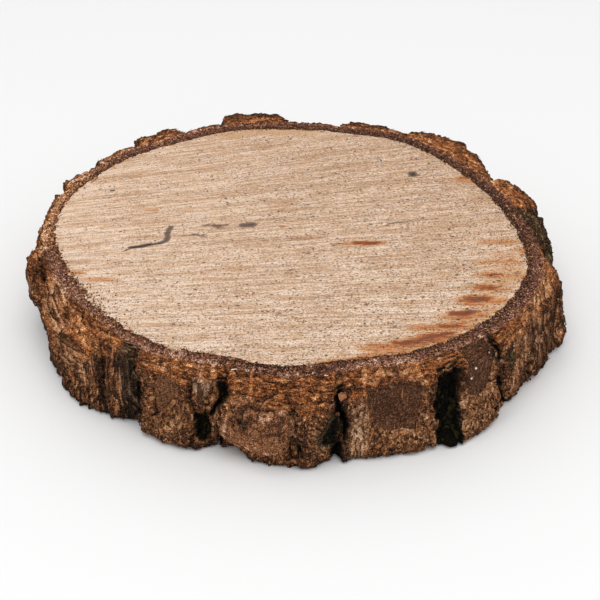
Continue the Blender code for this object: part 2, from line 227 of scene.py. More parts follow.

# Places on the bark's face where its surface changes: kind of surface, how far it stands out, how soft
# its edge is, and its outline as degrees and height.
# The dark kind is painted shade, laid in recesses and under flakes.
Patch = namedtuple("Patch", "kind lift edge points")
PATCHES = (
    Patch("torn", -1.2, 0.8, (
        (257.5, 44), (280, 44), (279.5, 38), (271, 35), (268.2, 34.8), (265.6, 37.4), (263.3, 40), (261.1, 37),
        (259.5, 33), (258, 30),
    )),
    Patch("flake", 1.3, 0.2, (
        (257.8, 14), (258.4, 25), (259.7, 31.6), (261.1, 35.8), (263.3, 39.2), (265.6, 36.1), (268.2, 33.6),
        (270.3, 32.3), (271.6, 28), (271.4, 17), (270, 9), (265, 8), (260, 9),
    )),
    Patch("flake", 2.2, 0.15, (
        (262.8, 31.9), (266, 30.4), (268.9, 31.8), (270.7, 31.3), (270, 27), (269.2, 23), (266.4, 21.6),
        (264.8, 24),
    )),
    Patch("dark", -1.9, 0.35, (
        (260.2, 26), (261.4, 31.6), (263.4, 35.4), (267, 34.6), (270.4, 33.6), (268, 32.4), (263, 32.4),
        (262.2, 28.5), (263.8, 22), (261.4, 20),
    )),
    Patch("dark", -1.9, 0.4, (
        (271, 31), (271.9, 26), (271.8, 19), (272.2, 9), (273.6, 8), (273.4, 18.3), (272.9, 25), (272, 31),
    )),
    Patch("moss", -1.0, 0.5, ((271.6, 16), (273.4, 15), (274, 6), (272.4, 5))),
    Patch("green", -0.4, 2.0, ((275.4, 22), (278.2, 29), (280.2, 30), (280, 8), (277.6, 7), (275.6, 13))),
    Patch("moss", -0.6, 1.4, ((277.6, 24), (280.2, 27), (280.2, 9), (278, 10), (276.6, 15))),
    Patch("moss", -1.0, 0.6, (
        (255.9, 44), (257.7, 44), (258, 39), (257.2, 33), (257, 26), (256, 20), (254.4, 14), (253.6, 19),
        (254.9, 26), (255.7, 33), (255.2, 40),
    )),
    Patch("smooth", -2.2, 0.25, (
        (241.8, 13.5), (241.4, 22), (241.2, 31), (242.2, 37), (244.6, 39.6), (247.4, 39), (248.8, 34.5),
        (248.4, 28.5), (246.6, 23.5), (244.7, 17.5), (242.4, 11.5),
    )),
    Patch("crumb", 1.5, 0.2, (
        (239.2, 3), (240.4, 10), (242.3, 11.5), (244.7, 17.8), (246.2, 21.7), (247.5, 25.8), (249.6, 26),
        (250, 9), (248, 2),
    )),
    Patch("pale", 0.9, 0.25, ((250.6, 39.5), (255, 39.5), (254.4, 35), (253.5, 31), (252.7, 27), (251.9, 31), (251.1, 35))),
    Patch("moss", -1.6, 0.8, ((250.2, 22), (252.4, 20), (253.4, 25), (254.2, 5), (252.4, 3), (250.2, 6))),
    Patch("skin", -0.9, 0.3, (
        (285.7, 40.2), (288.5, 39.6), (292, 40.4), (296.8, 39.6), (297.6, 29), (297.2, 16), (295.6, 11),
        (293, 13), (291, 11), (289.5, 13.5), (287.4, 13.8), (286.4, 22.5), (285.6, 31.5),
    )),
    Patch("fibre", 0.3, 0.6, ((282.4, 28), (284.5, 34), (285.6, 30), (286.2, 13), (285.9, 1), (282.6, 0))),
    Patch("crumb", 1.0, 0.5, (
        (291, 10.4), (293, 12.5), (295.6, 10.5), (297.4, 15.6), (299.4, 23), (299.6, 1), (289.5, 0),
    )),
    Patch("skin", -0.9, 0.3, (
        (306.6, 44), (310, 43.4), (313.4, 42.6), (313.7, 38.9), (313.2, 30), (312.8, 20.5), (309.4, 19),
        (306.4, 23.5), (305.4, 31),
    )),
    Patch("crumb", 1.3, 0.6, (
        (304.4, 20), (306, 22), (309, 18), (312.8, 20), (315, 13), (314.5, 2), (304.2, 1),
    )),
    Patch("dark", -2.0, 0.5, (
        (316.6, 44), (314.4, 44), (313.5, 39), (313.5, 33), (314.6, 30), (316.4, 33), (316.4, 38),
    )),
    Patch("moss", -2.6, 0.6, (
        (314.4, 32), (315.3, 27), (315, 20), (314.8, 12), (313.2, 9), (314.4, 1), (320.6, 1), (320.4, 13),
        (319, 20), (318.4, 28), (316.6, 33),
    )),
    Patch("green", -0.3, 0.6, ((318.8, 35), (320.6, 32), (322.4, 30), (323.8, 26), (322.4, 22.5), (320.2, 22))),
    Patch("stain", -0.3, 1.2, ((231.6, 37), (234, 44), (238, 44), (238.4, 20), (238, 1), (232.4, 1), (233.2, 18))),
    Patch("green", -0.2, 1.0, ((355, 44), (371.5, 44), (373, 39), (372, 30), (368, 24), (362, 20), (355, 24))),
    Patch("fibre", 0.3, 1.5, ((187, 34), (199, 31), (204, 22), (202, 4), (190, 3), (186.5, 14))),
    Patch("green", -2.2, 1.5, ((184.5, 27), (189, 25), (194.5, 24), (194.5, 12), (184.5, 12))),
    Patch("fibre", -1.2, 1.5, ((349.5, 28), (354, 28), (354, 18), (349.5, 18))),
    Patch("skin", 0.4, 0.6, ((205.6, 14), (209.6, 14.6), (213, 10), (211, 5.5), (206, 7))),
)
KINDS = tuple(sorted({patch.kind for patch in PATCHES}))
BARK_MASKS = (
    "sawn", "torn", "face", "depth", "crest", "swell", "deep", "rim", "foot", "rib", "tone", "out", "strand", "drawn",
    "crumb", "dark", "fibre", "flake", "green", "moss", "pale", "skin", "smooth", "stain",
)

# Where long strands show. middle and reach: angles; low and high: heights; along: the way they run;
# thick and long: their size; rise: how far they stand out; level: how dark they are on the whole.
Drawn = namedtuple("Drawn", "middle reach low high along thick long rise level")
DRAWN = (
    Drawn(205.5, 5.5, 27.0, 45.0, (0.35, -0.84, -0.42), 2.6, 30.0, 1.8, 0.66),
    Drawn(215.0, 8.0, 15.0, 29.0, (0.53, -0.83, 0.14), 2.6, 34.0, 1.8, 0.66),
    Drawn(333.0, 9.0, -9.0, 36.0, (0.10, 0.0, -1.0), 2.6, 30.0, 2.0, 0.84),
    Drawn(334.0, 8.0, 37.0, 45.0, (-0.10, -0.92, -0.38), 2.2, 18.0, 1.2, 0.76),
    Drawn(284.2, 1.8, -9.0, 26.0, (0.0, 0.0, 1.0), 1.2, 14.0, 0.7, 0.74),
    Drawn(305.0, 1.2, -9.0, 26.0, (0.0, 0.0, 1.0), 1.2, 14.0, 0.6, 0.74),
)

# Where the bark is worn back. middle and reach of the place, in degrees; gone: how much; below: only this far up.
Worn = namedtuple("Worn", "middle reach gone below")
WORN = (
    Worn(31.0, 8.0, 1.8, 90.0),
    Worn(62.0, 14.0, 1.9, 90.0),
    Worn(100.0, 10.0, 1.0, 90.0),
    Worn(121.0, 9.0, 1.7, 90.0),
    Worn(147.0, 12.0, 2.4, 90.0),
    Worn(171.0, 8.0, 0.9, 90.0),
    Worn(199.5, 4.0, 2.6, 28.0),
    Worn(226.0, 11.0, 1.8, 14.0),
    Worn(241.0, 6.0, 1.6, 14.0),
    Worn(258.5, 5.0, 2.2, 14.0),
    Worn(268.0, 8.0, 1.6, 14.0),
    Worn(278.0, 5.0, 2.8, 14.0),
    Worn(310.0, 5.0, 2.0, 14.0),
    Worn(335.0, 5.0, 1.6, 26.0),
    Worn(348.0, 9.0, 1.7, 26.0),
)

# Slots cut down into the bark's top: first and last angle, how far from the wood it runs there, width, depth
Slot = namedtuple("Slot", "first last near far width depth")
SLOTS = (Slot(187.5, 200.0, 8.6, 10.8, 2.6, 9.0),)

# Colours
WOOD_SHADES = (
    (0.0, (0.35, 0.195, 0.110)), (0.3, (0.52, 0.340, 0.225)), (0.55, (0.635, 0.452, 0.325)),
    (0.8, (0.72, 0.545, 0.415)), (1.0, (0.81, 0.65, 0.52)),
)
WOOD_WARM = (0.52, 0.31, 0.16)
WOOD_STREAK = (0.50, 0.30, 0.155)
WOOD_SCRATCH = (0.34, 0.17, 0.075)
RUST_SHADES = (
    (0.1, (0.60, 0.32, 0.13)), (0.35, (0.50, 0.19, 0.058)), (0.6, (0.31, 0.082, 0.022)),
    (0.9, (0.17, 0.040, 0.012)),
)
GREY_SHADES = ((0.25, (0.24, 0.17, 0.12)), (0.6, (0.13, 0.088, 0.062)), (0.95, (0.020, 0.013, 0.009)))
WOOD_BROWN = (0.16, 0.09, 0.05)
WOOD_SPECK = (0.045, 0.031, 0.022)
WOOD_FLECK = (0.17, 0.095, 0.055)
SPECK_SIZES = ((0.6, 1.3, 1.0), (0.85, 1.1, 1.2), (1.2, 0.7, 1.3), (1.9, 0.16, 1.3))
FACE_SHADES = (
    (0.0, (0.016, 0.006, 0.003)), (0.3, (0.120, 0.042, 0.015)), (0.55, (0.34, 0.135, 0.052)),
    (0.8, (0.54, 0.26, 0.120)), (1.0, (0.74, 0.47, 0.28)),
)
TORN_SHADES = (
    (0.0, (0.022, 0.007, 0.003)), (0.3, (0.150, 0.044, 0.012)), (0.55, (0.38, 0.125, 0.036)),
    (0.8, (0.58, 0.245, 0.085)), (1.0, (0.76, 0.45, 0.23)),
)
CRUMB_SHADES = (
    (0.0, (0.02, 0.008, 0.004)), (0.35, (0.17, 0.064, 0.025)), (0.6, (0.38, 0.165, 0.065)),
    (0.85, (0.56, 0.31, 0.15)), (1.0, (0.74, 0.50, 0.31)),
)
SMOOTH_SHADES = ((0.0, (0.03, 0.012, 0.005)), (0.5, (0.17, 0.070, 0.030)), (1.0, (0.40, 0.20, 0.10)))
SKIN_SHADES = ((0.0, (0.014, 0.005, 0.003)), (0.5, (0.072, 0.027, 0.012)), (1.0, (0.26, 0.125, 0.066)))
FIBRE_SHADES = (
    (0.0, (0.04, 0.016, 0.007)), (0.35, (0.19, 0.085, 0.040)), (0.6, (0.42, 0.225, 0.115)),
    (1.0, (0.76, 0.54, 0.36)),
)
PALE_SHADES = ((0.0, (0.06, 0.024, 0.012)), (0.5, (0.40, 0.220, 0.130)), (1.0, (0.78, 0.56, 0.40)))
# Painted shade, laid in recesses and in the depths of fissures and slots
PAINTED_SHADE_SHADES = ((0.0, (0.004, 0.003, 0.002)), (0.5, (0.032, 0.016, 0.009)), (1.0, (0.16, 0.085, 0.045)))
MOSS_SHADES = ((0.0, (0.0005, 0.0005, 0.0002)), (0.5, (0.0028, 0.0026, 0.0010)), (1.0, (0.04, 0.034, 0.012)))
GREEN_SHADES = ((0.0, (0.003, 0.003, 0.001)), (0.5, (0.030, 0.028, 0.011)), (1.0, (0.15, 0.13, 0.055)))
STAIN_SHADES = ((0.0, (0.002, 0.002, 0.0015)), (0.5, (0.024, 0.017, 0.011)), (1.0, (0.17, 0.115, 0.070)))
FLAKE_SHADES = ((0.0, (0.05, 0.018, 0.008)), (0.5, (0.32, 0.128, 0.054)), (1.0, (0.80, 0.54, 0.36)))
RIND_SHADES = (
    (0.0, (0.040, 0.015, 0.007)), (0.35, (0.30, 0.115, 0.048)), (0.6, (0.60, 0.30, 0.140)),
    (1.0, (0.84, 0.60, 0.40)),
)
BAND_SHADES = (
    (0.0, (0.018, 0.006, 0.004)), (0.35, (0.095, 0.034, 0.022)), (0.6, (0.225, 0.090, 0.055)),
    (0.85, (0.41, 0.225, 0.150)), (1.0, (0.66, 0.46, 0.35)),
)
LOOSE_SHADES = (
    (0.0, (0.012, 0.005, 0.003)), (0.3, (0.075, 0.028, 0.012)), (0.55, (0.23, 0.095, 0.038)),
    (0.8, (0.40, 0.20, 0.095)), (1.0, (0.60, 0.36, 0.20)),
)
DUST_SHADES = ((0.0, (0.30, 0.18, 0.11)), (0.5, (0.55, 0.38, 0.27)), (1.0, (0.80, 0.66, 0.54)))
TUFT_SHADES = ((0.0, (0.0005, 0.0005, 0.0002)), (0.5, (0.0036, 0.0036, 0.0013)), (1.0, (0.030, 0.029, 0.010)))
CHIP_SHADES = ((0.0, (0.16, 0.055, 0.020)), (0.5, (0.40, 0.17, 0.075)), (1.0, (0.72, 0.42, 0.25)))
GRAIN_LIGHT = (0.10, 0.058, 0.036)
RIM_CRUMBS = 3000
RIM_SEED = 21

# The camera, from the middle of the wood, as the photograph was taken
PHOTO_SIDE = 36.0
LENS = 96.0
CAMERA_PLACE = (6.1, -630.3, 405.4)
CAMERA_TILT = 57.5


def smooth(low, high, value):
    """0 up to low, 1 from high, and an even curve between."""
    share = np.clip((value - low) / (high - low), 0.0, 1.0)
    return share * share * (3.0 - 2.0 * share)


def window(degrees, middle, reach):
    """1 at an angle, falling off to both sides of it."""
    return np.exp(-((turn_between(degrees, middle) / reach) ** 2))


def turn_between(degrees, other):
    """The signed angle from other to degrees, within half a turn."""
    return (degrees - other + 180.0) % 360.0 - 180.0


def wood_radius(degrees):
    """The wood's radius: a smooth closed curve through WOOD_RADII."""
    radii = np.array(WOOD_RADII)
    place = np.asarray(degrees) / 360.0 * len(radii)
    first = np.floor(place).astype(int)
    share = place - first
    before, here, there, after = (radii[(first + k) % len(radii)] for k in (-1, 0, 1, 2))
    bend = 2.0 * before - 5.0 * here + 4.0 * there - after
    twist = 3.0 * (here - there) + after - before
    return here + 0.5 * share * (there - before + share * (bend + share * twist))


def outline_middle():
    """The middle of the box round the wood's outline."""
    degrees = np.arange(OUTLINE_POINTS) * 360.0 / OUTLINE_POINTS
    x = wood_radius(degrees) * np.cos(np.radians(degrees))
    y = wood_radius(degrees) * np.sin(np.radians(degrees))
    return np.array([(x.min() + x.max()) / 2.0, (y.min() + y.max()) / 2.0, 0.0])


def slide_to_frame():
    """How far the wood's own centre lies from the frame's origin, in millimetres."""
    low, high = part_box("wood")
    middle = np.array([(low[axis] + high[axis]) / 2.0 for axis in (0, 1)] + [0.0]) * PER_METRE
    return middle - outline_middle()


SLIDE = slide_to_frame()


def read(how, spots, size, seed=0):
    """One number for each spot: how is the noise at one place, and size the length of its bumps on each axis."""
    shifted = spots / np.asarray(size, float) + 17.3 * seed
    found = [how(place) for place in shifted.reshape(-1, 3).tolist()]
    return np.array(found).reshape(spots.shape[:-1])


def rough(place):
    return noise.fractal(place, 0.7, 2.0, 4)


def ridged(place):
    return 1.0 - 2.0 * abs(noise.noise(place))


def crumbly(place):
    return noise.fractal(place, 0.8, 2.0, 2)


def scatter(corners, seed):
    """An even number from 0 to 1 for each chip, from where the chip lies."""
    mixed = np.sin(corners @ (12.99, 78.23, 37.72) + 5.1 * seed) * 43758.5
    return mixed - np.floor(mixed)


def chips(spots, size, seed):
    """Broken chips that fill space: the height of each, set askew, its tone, and the cracks between them."""
    shifted = (spots / np.asarray(size, float) + 17.3 * seed).reshape(-1, 3)
    found = [noise.voronoi(place) for place in shifted.tolist()]
    gaps = np.array([distances[:2] for distances, _ in found])
    corners = np.array([nearest[0] for _, nearest in found])
    askew = np.stack([scatter(corners, k) - 0.5 for k in (1, 2, 3)], axis=-1)
    height = scatter(corners, 4) - 0.5 + 1.6 * ((shifted - corners) * askew).sum(axis=-1)
    crack = smooth(0.16, 0.0, gaps[:, 1] - gaps[:, 0])
    return tuple(value.reshape(spots.shape[:-1]) for value in (height, scatter(corners, 5), crack))


def layered(value, rise):
    """Steps for each whole number: their height above an even slope, edges for pale rims and painted highlight, feet
    for painted shade, and a tone for each layer.
    """
    part = value % 1.0
    tone = np.abs(np.sin(12.9 * np.floor(value + 0.1) + 1.3))
    step = smooth(1.0 - rise, 1.0, part) - part
    edge = np.maximum(smooth(0.9, 1.0, part), smooth(0.14, 0.0, part))
    foot = smooth(0.17, 0.0, np.abs(part - (1.0 - rise)))
    return step, edge, foot, tone


def fissure_angle(index, height):
    """Where that fissure lies at each height, in degrees."""
    plate = PLATES[index % len(PLATES)]
    share = height / THICKNESS
    sway = FISSURE_SWAY * min(1.0, SWAYING_WIDTH / plate.width)
    return plate.start + plate.lean * (share - 0.5) + sway * np.sin(2.4 * math.pi * share + 1.7 * index)


def ring_spots(degrees, height):
    """Places on the bark's face rolled to an even radius, where noise is read."""
    turn = np.radians(degrees)
    return np.stack([UNROLLED_RADIUS * np.cos(turn), UNROLLED_RADIUS * np.sin(turn), height], axis=-1)


def edge_shift(degrees):
    """How far the ragged edge between wood and bark lies from an even curve, more so on the left."""
    flat = ring_spots(degrees, np.zeros_like(degrees))
    reach = EDGE_WANDER + EDGE_WANDER_LEFT * window(degrees, 208.0, 26.0)
    return reach * read(rough, flat, 5.0, 12)


def plate_columns(index, grain):
    """Where a plate's columns lie, as shares of its width, closer together on the walls of its fissures."""
    plate, after = PLATES[index % len(PLATES)], PLATES[(index + 1) % len(PLATES)]
    wide = math.radians((after.start - plate.start) % 360.0) * UNROLLED_RADIUS
    place = np.linspace(0.0, wide, 400)
    walls = np.exp(-((place - plate.width / 2.0) ** 2)) + np.exp(-((wide - place - after.width / 2.0) ** 2))
    density = (1.0 + WALL_PACKING * walls) / grain
    passed = np.concatenate([[0.0], np.cumsum((density[1:] + density[:-1]) / 2.0) * wide / 399.0])
    count = round(passed[-1])
    return np.interp(np.arange(count) / count * passed[-1], passed, place) / wide


def inside(points, degrees, height):
    """How far inside an outline each place lies, in millimetres along the bark's face, and below 0 outside."""
    middle = sum(corner[0] for corner in points) / len(points)
    to_mm = math.radians(1.0) * UNROLLED_RADIUS
    x = turn_between(degrees, middle) * to_mm
    corners = [((angle - middle) * to_mm, up) for angle, up in points]
    nearest = np.full(x.shape, np.inf)
    crossed = np.zeros(x.shape, bool)
    for (x0, y0), (x1, y1) in zip(corners, corners[1:] + corners[:1]):
        along = ((x - x0) * (x1 - x0) + (height - y0) * (y1 - y0)) / ((x1 - x0) ** 2 + (y1 - y0) ** 2)
        along = np.clip(along, 0.0, 1.0)
        gap = np.hypot(x - x0 - along * (x1 - x0), height - y0 - along * (y1 - y0))
        nearest = np.minimum(nearest, gap)
        if y0 != y1:
            meets = (height - y0) / (y1 - y0) * (x1 - x0) + x0
            crossed ^= ((y0 > height) != (y1 > height)) & (x < meets)
    return np.where(crossed, nearest, -nearest)


def bark_patches(degrees, height, wobble):
    """How far the patches raise the face at each place, a mask along their rims for pale edges and painted highlight,
    and a mask for each kind of patch.
    """
    raised = np.zeros_like(degrees)
    rim = np.zeros_like(degrees)
    kinds = {kind: np.zeros_like(degrees) for kind in KINDS}
    for patch in PATCHES:
        depth = inside(patch.points, degrees, height) + wobble
        share = smooth(-patch.edge, patch.edge, depth)
        raised += patch.lift * share
        kinds[patch.kind] = np.maximum(kinds[patch.kind], smooth(-patch.edge - 0.6, patch.edge + 0.6, depth))
        over = smooth(-0.5, 0.0, depth) * smooth(1.3, 0.3, depth) * smooth(0.3, 1.0, patch.lift)
        under = smooth(0.6, 0.0, depth) * smooth(-1.2, -0.3, depth) * smooth(-0.3, -1.0, patch.lift)
        rim = np.maximum(rim, np.maximum(over, under))
    return raised, rim, kinds


def lump_rise(degrees, height):
    """How far the swellings and hollows lift the face at each place."""
    rise = np.zeros_like(degrees)
    for lump in LUMPS:
        aside = turn_between(degrees, lump.angle) / lump.across
        rise += lump.lift * smooth(1.0, 0.0, np.hypot(aside, (height - lump.height) / lump.up))
    return rise


def plate_form(index, share, height, degrees, wobble):
    """One plate: from the wood to its face, how deep in a fissure each place is, and how mossy that is."""
    plate, after = PLATES[index % len(PLATES)], PLATES[(index + 1) % len(PLATES)]
    to_mm = math.radians(1.0) * UNROLLED_RADIUS
    wide = (fissure_angle(index + 1, height) - fissure_angle(index, height)) % 360.0 * to_mm
    face = plate.near + (plate.far - plate.near) * share
    wander = read(noise.noise, ring_spots(degrees, np.zeros_like(height)), 8.0, 1)
    ledge = plate.ledge + LEDGE_WANDER * wander
    face = face + plate.step * smooth(ledge + LEDGE_FADE, ledge - LEDGE_FADE, height)
    face = face + lump_rise(degrees, height)
    depth = np.zeros_like(face)
    moss = np.zeros_like(face)
    thick = face
    for side, place in ((plate, share * wide), (after, (1.0 - share) * wide)):
        from_wall = place - side.width / 2.0 + 0.9 * wobble
        corner = CORNER_ROUNDING + CORNER_SHARE * np.maximum(0.0, face - side.floor)
        thick = thick - corner * np.exp(-np.maximum(from_wall, 0.0) / CORNER_WIDTH)
        sunk = smooth(0.7, -0.7, from_wall)
        floor = side.floor + 0.6 * wobble
        floor = floor + FOOT_FILL * np.maximum(face - floor, 0.0) * smooth(9.0, 0.0, height)
        floor = floor + TOP_FILL * np.maximum(face - floor, 0.0) * smooth(36.5, 40.0, height)
        thick = np.where(thick > floor, thick - (thick - floor) * sunk, thick)
        depth = np.maximum(depth, sunk)
        moss = np.maximum(moss, side.moss * smooth(1.8, -0.2, from_wall))
    return thick, depth, moss


def top_drop(index, share, degrees):
    """How far a plate's top edge lies below the sawn face, evened out from plate to plate."""
    here = PLATES[index % len(PLATES)].drop
    before = (PLATES[(index - 1) % len(PLATES)].drop + here) / 2.0
    beyond = (PLATES[(index + 1) % len(PLATES)].drop + here) / 2.0
    drop = before + (here - before) * smooth(0.0, 0.25, share)
    drop = drop + (beyond - here) * smooth(0.75, 1.0, share)
    return drop * (1.0 + 0.35 * read(noise.noise, ring_spots(degrees, np.zeros_like(degrees)), 10.0, 7))


def bark_rows(length):
    """The part, the share along it and the rise of each row: across the top, down, back and up."""
    rows = [(0, k / length.band, 1.0) for k in range(length.band)]
    rows += [(1, k / length.shoulder, 1.0) for k in range(length.shoulder)]
    rows += [(2, 1.0, 1.0 - k / length.face) for k in range(length.face)]
    rows += [(3, 1.0 - k / length.under, 0.0) for k in range(length.under)]
    rows += [(4, 0.0, k / length.wall) for k in range(length.wall)]
    return np.array(rows)


def select_all_of(piece):
    """Makes this the one selected and active object."""
    bpy.ops.object.select_all(action="DESELECT")
    piece.select_set(True)
    bpy.context.view_layer.objects.active = piece


def set_points(piece, points):
    """Moves the piece's points to these places in millimetres about the wood's centre."""
    placed = (points + SLIDE) * MM
    piece.data.vertices.foreach_set("co", placed.astype(np.float32).ravel())
    piece.data.update()


def keep_mask(piece, name, values):
    """Keeps one number for each point of the piece, for its material to read."""
    mask = piece.data.attributes.new(name, "FLOAT", "POINT")
    mask.data.foreach_set("value", np.asarray(values, np.float32).ravel())


def add_sheet(name, across, up):
    """A flat grid of points, in rows from the first to the last."""
    bpy.ops.object.select_all(action="DESELECT")
    bpy.ops.mesh.primitive_grid_add(x_subdivisions=across, y_subdivisions=up, size=1.0)
    sheet = bpy.context.active_object
    sheet.name = name
    sheet.data.name = name
    return sheet


def surface_normals(points):
    """Outward normals of a grid of points whose rows close into a loop."""
    along = np.gradient(points, axis=1)
    across = np.roll(points, -1, axis=0) - np.roll(points, 1, axis=0)
    normals = np.cross(along, across)
    return normals / np.maximum(np.linalg.norm(normals, axis=-1, keepdims=True), 1e-9)


def evened(points, steps):
    """The same form with its fine relief evened out over that many steps each way."""
    for axis in (0, 1):
        points = sum(np.roll(points, k, axis) for k in range(-steps, steps + 1)) / (2 * steps + 1)
    return points


def bulge(points, reach):
    """How far each point stands out of the ground between its neighbours that many steps off, in millimetres."""
    before, after = np.roll(points, reach, 1), np.roll(points, -reach, 1)
    before[:, :reach] = points[:, :reach]
    after[:, -reach:] = points[:, -reach:]
    around = (before + after + np.roll(points, reach, 0) + np.roll(points, -reach, 0)) / 4.0
    return ((points - around) * surface_normals(points)).sum(axis=-1)


def bark_slots(degrees, out):
    """How deep the slots cut into the bark's top at each place."""
    cut = np.zeros_like(out)
    for slot in SLOTS:
        share = turn_between(degrees, slot.first) / turn_between(slot.last, slot.first)
        line = slot.near + (slot.far - slot.near) * share
        ends = smooth(0.0, 0.25, share) * smooth(1.0, 0.7, share)
        cut += slot.depth * ends * np.exp(-((2.0 * (out - line) / slot.width) ** 4))
    return cut


def bark_points(length):
    """The ring's form by row and column before its fine relief, and the masks that go with it."""
    rows = bark_rows(length)
    part, along, rise = rows[:, 0:1], rows[:, 1:2], rows[:, 2:3]
    height = THICKNESS * rise
    blocks = []
    for index in range(length.first, length.last):
        shares = plate_columns(index, length.grain)
        if index == length.last - 1:
            shares = np.append(shares, 1.0)
        share = np.broadcast_to(shares, (len(rows), len(shares)))
        up = np.broadcast_to(height, share.shape)
        start = fissure_angle(index, up)
        degrees = start + share * ((fissure_angle(index + 1, up) - start) % 360.0)
        wobble = read(rough, ring_spots(degrees, up), (3.0, 3.0, 5.0), 6)
        thick, depth, moss = plate_form(index, share, up, degrees, wobble)
        jagged = 0.5 * wobble + 0.4 * read(rough, ring_spots(degrees, up), 1.5, 22)
        raised, rim, kinds = bark_patches(degrees, up, jagged)
        fine = {"ridge": np.full_like(thick, PLATES[index % len(PLATES)].ridge), "rim": rim}
        drop = top_drop(index, share, degrees)
        blocks.append({"degrees": degrees, "thick": thick + raised, "depth": depth, "drop": drop,
                       **kinds, "moss": np.maximum(moss, kinds["moss"]), **fine})
    field = {name: np.concatenate([block[name] for block in blocks], axis=1) for name in blocks[0]}
    degrees, thick = field["degrees"], field["thick"]
    spots = ring_spots(degrees, np.broadcast_to(height, thick.shape))
    thick += 0.8 * read(noise.noise, spots, (7.0, 7.0, 17.0), 2) * (1.0 - field["depth"])
    for worn in WORN:
        low = smooth(worn.below + 5.0, worn.below - 5.0, spots[..., 2])
        thick -= worn.gone * low * window(degrees, worn.middle, worn.reach)
    flat = ring_spots(degrees, np.zeros_like(degrees))
    band = SAWN_BAND + BAND_WANDER * read(rough, flat, 9.0, 16) - NARROWED_LEFT * window(degrees, 224.0, 13.0)
    band = np.minimum(band, thick - LEAST_SHOULDER)
    out = np.select([part == 0, part == 1], [band * along, band + (thick - band) * along], thick * along)
    inner = ((part == 0) + (part == 4)) * (along == 0) + (part == 4) > 0
    out = np.where(inner, -INNER_TUCK, out)
    shoulder = np.select([part == 0, part == 1], [np.zeros_like(out), along + out * 0.0], np.ones_like(out))
    fall = field["drop"] * shoulder**1.4 + BAND_DROOP * np.clip(out / band, 0.0, 1.0) ** 2
    cut = (part < 2) * bark_slots(degrees, out)
    fall = fall + cut
    lift = np.maximum(0.0, HEM_LIFT * (0.6 + read(noise.noise, flat, 12.0, 11)))
    low = FLOOR_CLEARANCE + lift * (part >= 2) * along**3
    high = THICKNESS - fall - INNER_DROP * inner
    up = low + rise * (high - low)
    out = out - HEM_ROUNDING * smooth(2.6, 0.0, up) * ((part == 2) + (part == 3) * along)
    radius = wood_radius(degrees) + out + edge_shift(degrees) * smooth(5.0, 0.0, out)
    turn = np.radians(degrees)
    points = np.stack([radius * np.cos(turn), radius * np.sin(turn), up], axis=-1)
    field["sawn"] = (part == 0) * smooth(1.0, 0.9, along) + out * 0.0
    reach = 0.94 + 0.09 * read(rough, flat, (6.0, 6.0, 1.0), 17)
    reach = reach - 0.46 * window(degrees, 207.0, 8.0) - 0.26 * window(degrees, 219.0, 5.0)
    reach = reach - 0.12 * window(degrees, 272.0, 9.0) - 0.10 * window(degrees, 335.0, 8.0)
    lower = (part == 2) * smooth(-0.02, 0.04, rise - reach)
    field["torn"] = np.maximum(field["torn"], np.maximum((part == 1) + out * 0.0, lower))
    bare = 1.0 - field["sawn"]
    field["moss"] = field["moss"] * bare
    # Moss and depth fade near the top; by depth the finish paints shade in fissures and slots
    closed = 1.0 - 0.8 * ((part == 1) * smooth(1.0, 0.7, along) + (part == 2) * smooth(0.95, 1.0, rise))
    field["moss"] = field["moss"] * closed
    field["depth"] = np.maximum(field["depth"] * bare * closed, smooth(1.0, 4.5, cut))
    field["face"] = (part == 2) * smooth(1.0, 0.93, rise) + out * 0.0
    field["loose"] = np.select([part == 0, part == 4], [smooth(0.0, 0.15, along) + out * 0.0, out * 0.0], 1.0 + out * 0.0)
    return points, field


def drawn_strands(field, points):
    """Long strands where the bark shows them: how far they rise, their value from -1 to 1, and where they lie."""
    rise, value, share = (np.zeros(points.shape[:2]) for _ in range(3))
    bent = points + 0.5 * read(noise.noise, points, 5.0, 41)[..., None]
    for seed, drawn in enumerate(DRAWN):
        weight = window(field["degrees"], drawn.middle, drawn.reach) ** 2
        weight = weight * smooth(drawn.low - 2.0, drawn.low + 2.0, points[..., 2])
        weight = np.sqrt(weight * smooth(drawn.high + 2.0, drawn.high - 2.0, points[..., 2])) * (1.0 - field["sawn"])
        along = np.array(drawn.along) / np.linalg.norm(drawn.along)
        passed = (bent @ along)[..., None] * along
        spots = (bent - passed) / drawn.thick + passed / drawn.long
        line = read(noise.noise, spots, 1.0, 50 + seed)
        strand = 0.75 * smooth(0.0, 0.16, np.abs(line)) + 0.35 * smooth(-0.12, 0.12, line)
        strand += 0.5 * read(noise.noise, spots, 0.4, 60 + seed)
        rise += drawn.rise * weight * (strand - 0.75)
        value += weight * (strand - drawn.level)
        share = np.maximum(share, weight)
    return rise, value, share


def torn_relief(field, points, turn, cut):
    """The torn shoulder: chips and strands drawn out round the ring, coarser on the left, with the cracks between chips
    where shade is painted.
    """
    sway = 1.0 * read(noise.noise, points, 7.0, 19) + 0.5 * read(noise.noise, points, 2.4, 33)
    left = window(field["degrees"], 208.0, 16.0)
    broad = np.stack([np.cos(turn) * 14.0, np.sin(turn) * 14.0, cut / 2.2 + sway], axis=-1)
    small = np.stack([np.cos(turn) * 24.0, np.sin(turn) * 24.0, cut / 0.9 + 1.6 * sway], axis=-1)
    strands = np.stack([np.cos(turn) * 13.0, np.sin(turn) * 13.0, cut / 1.3 + 1.3 * sway], axis=-1)
    high, tone, crack = chips(broad, 1.0, 8)
    low, small_tone, _ = chips(small, 1.0, 9)
    relief = (1.0 + 0.8 * left) * high + 0.4 * low + 0.5 * read(rough, points, (4.0, 4.0, 3.0), 20)
    relief += (0.2 + 0.5 * left) * read(ridged, strands, 1.0, 10)
    edge = smooth(0.1, 0.5, high) * (1.0 - crack)
    return relief, edge, 0.7 * crack, 0.5 * (tone + small_tone)


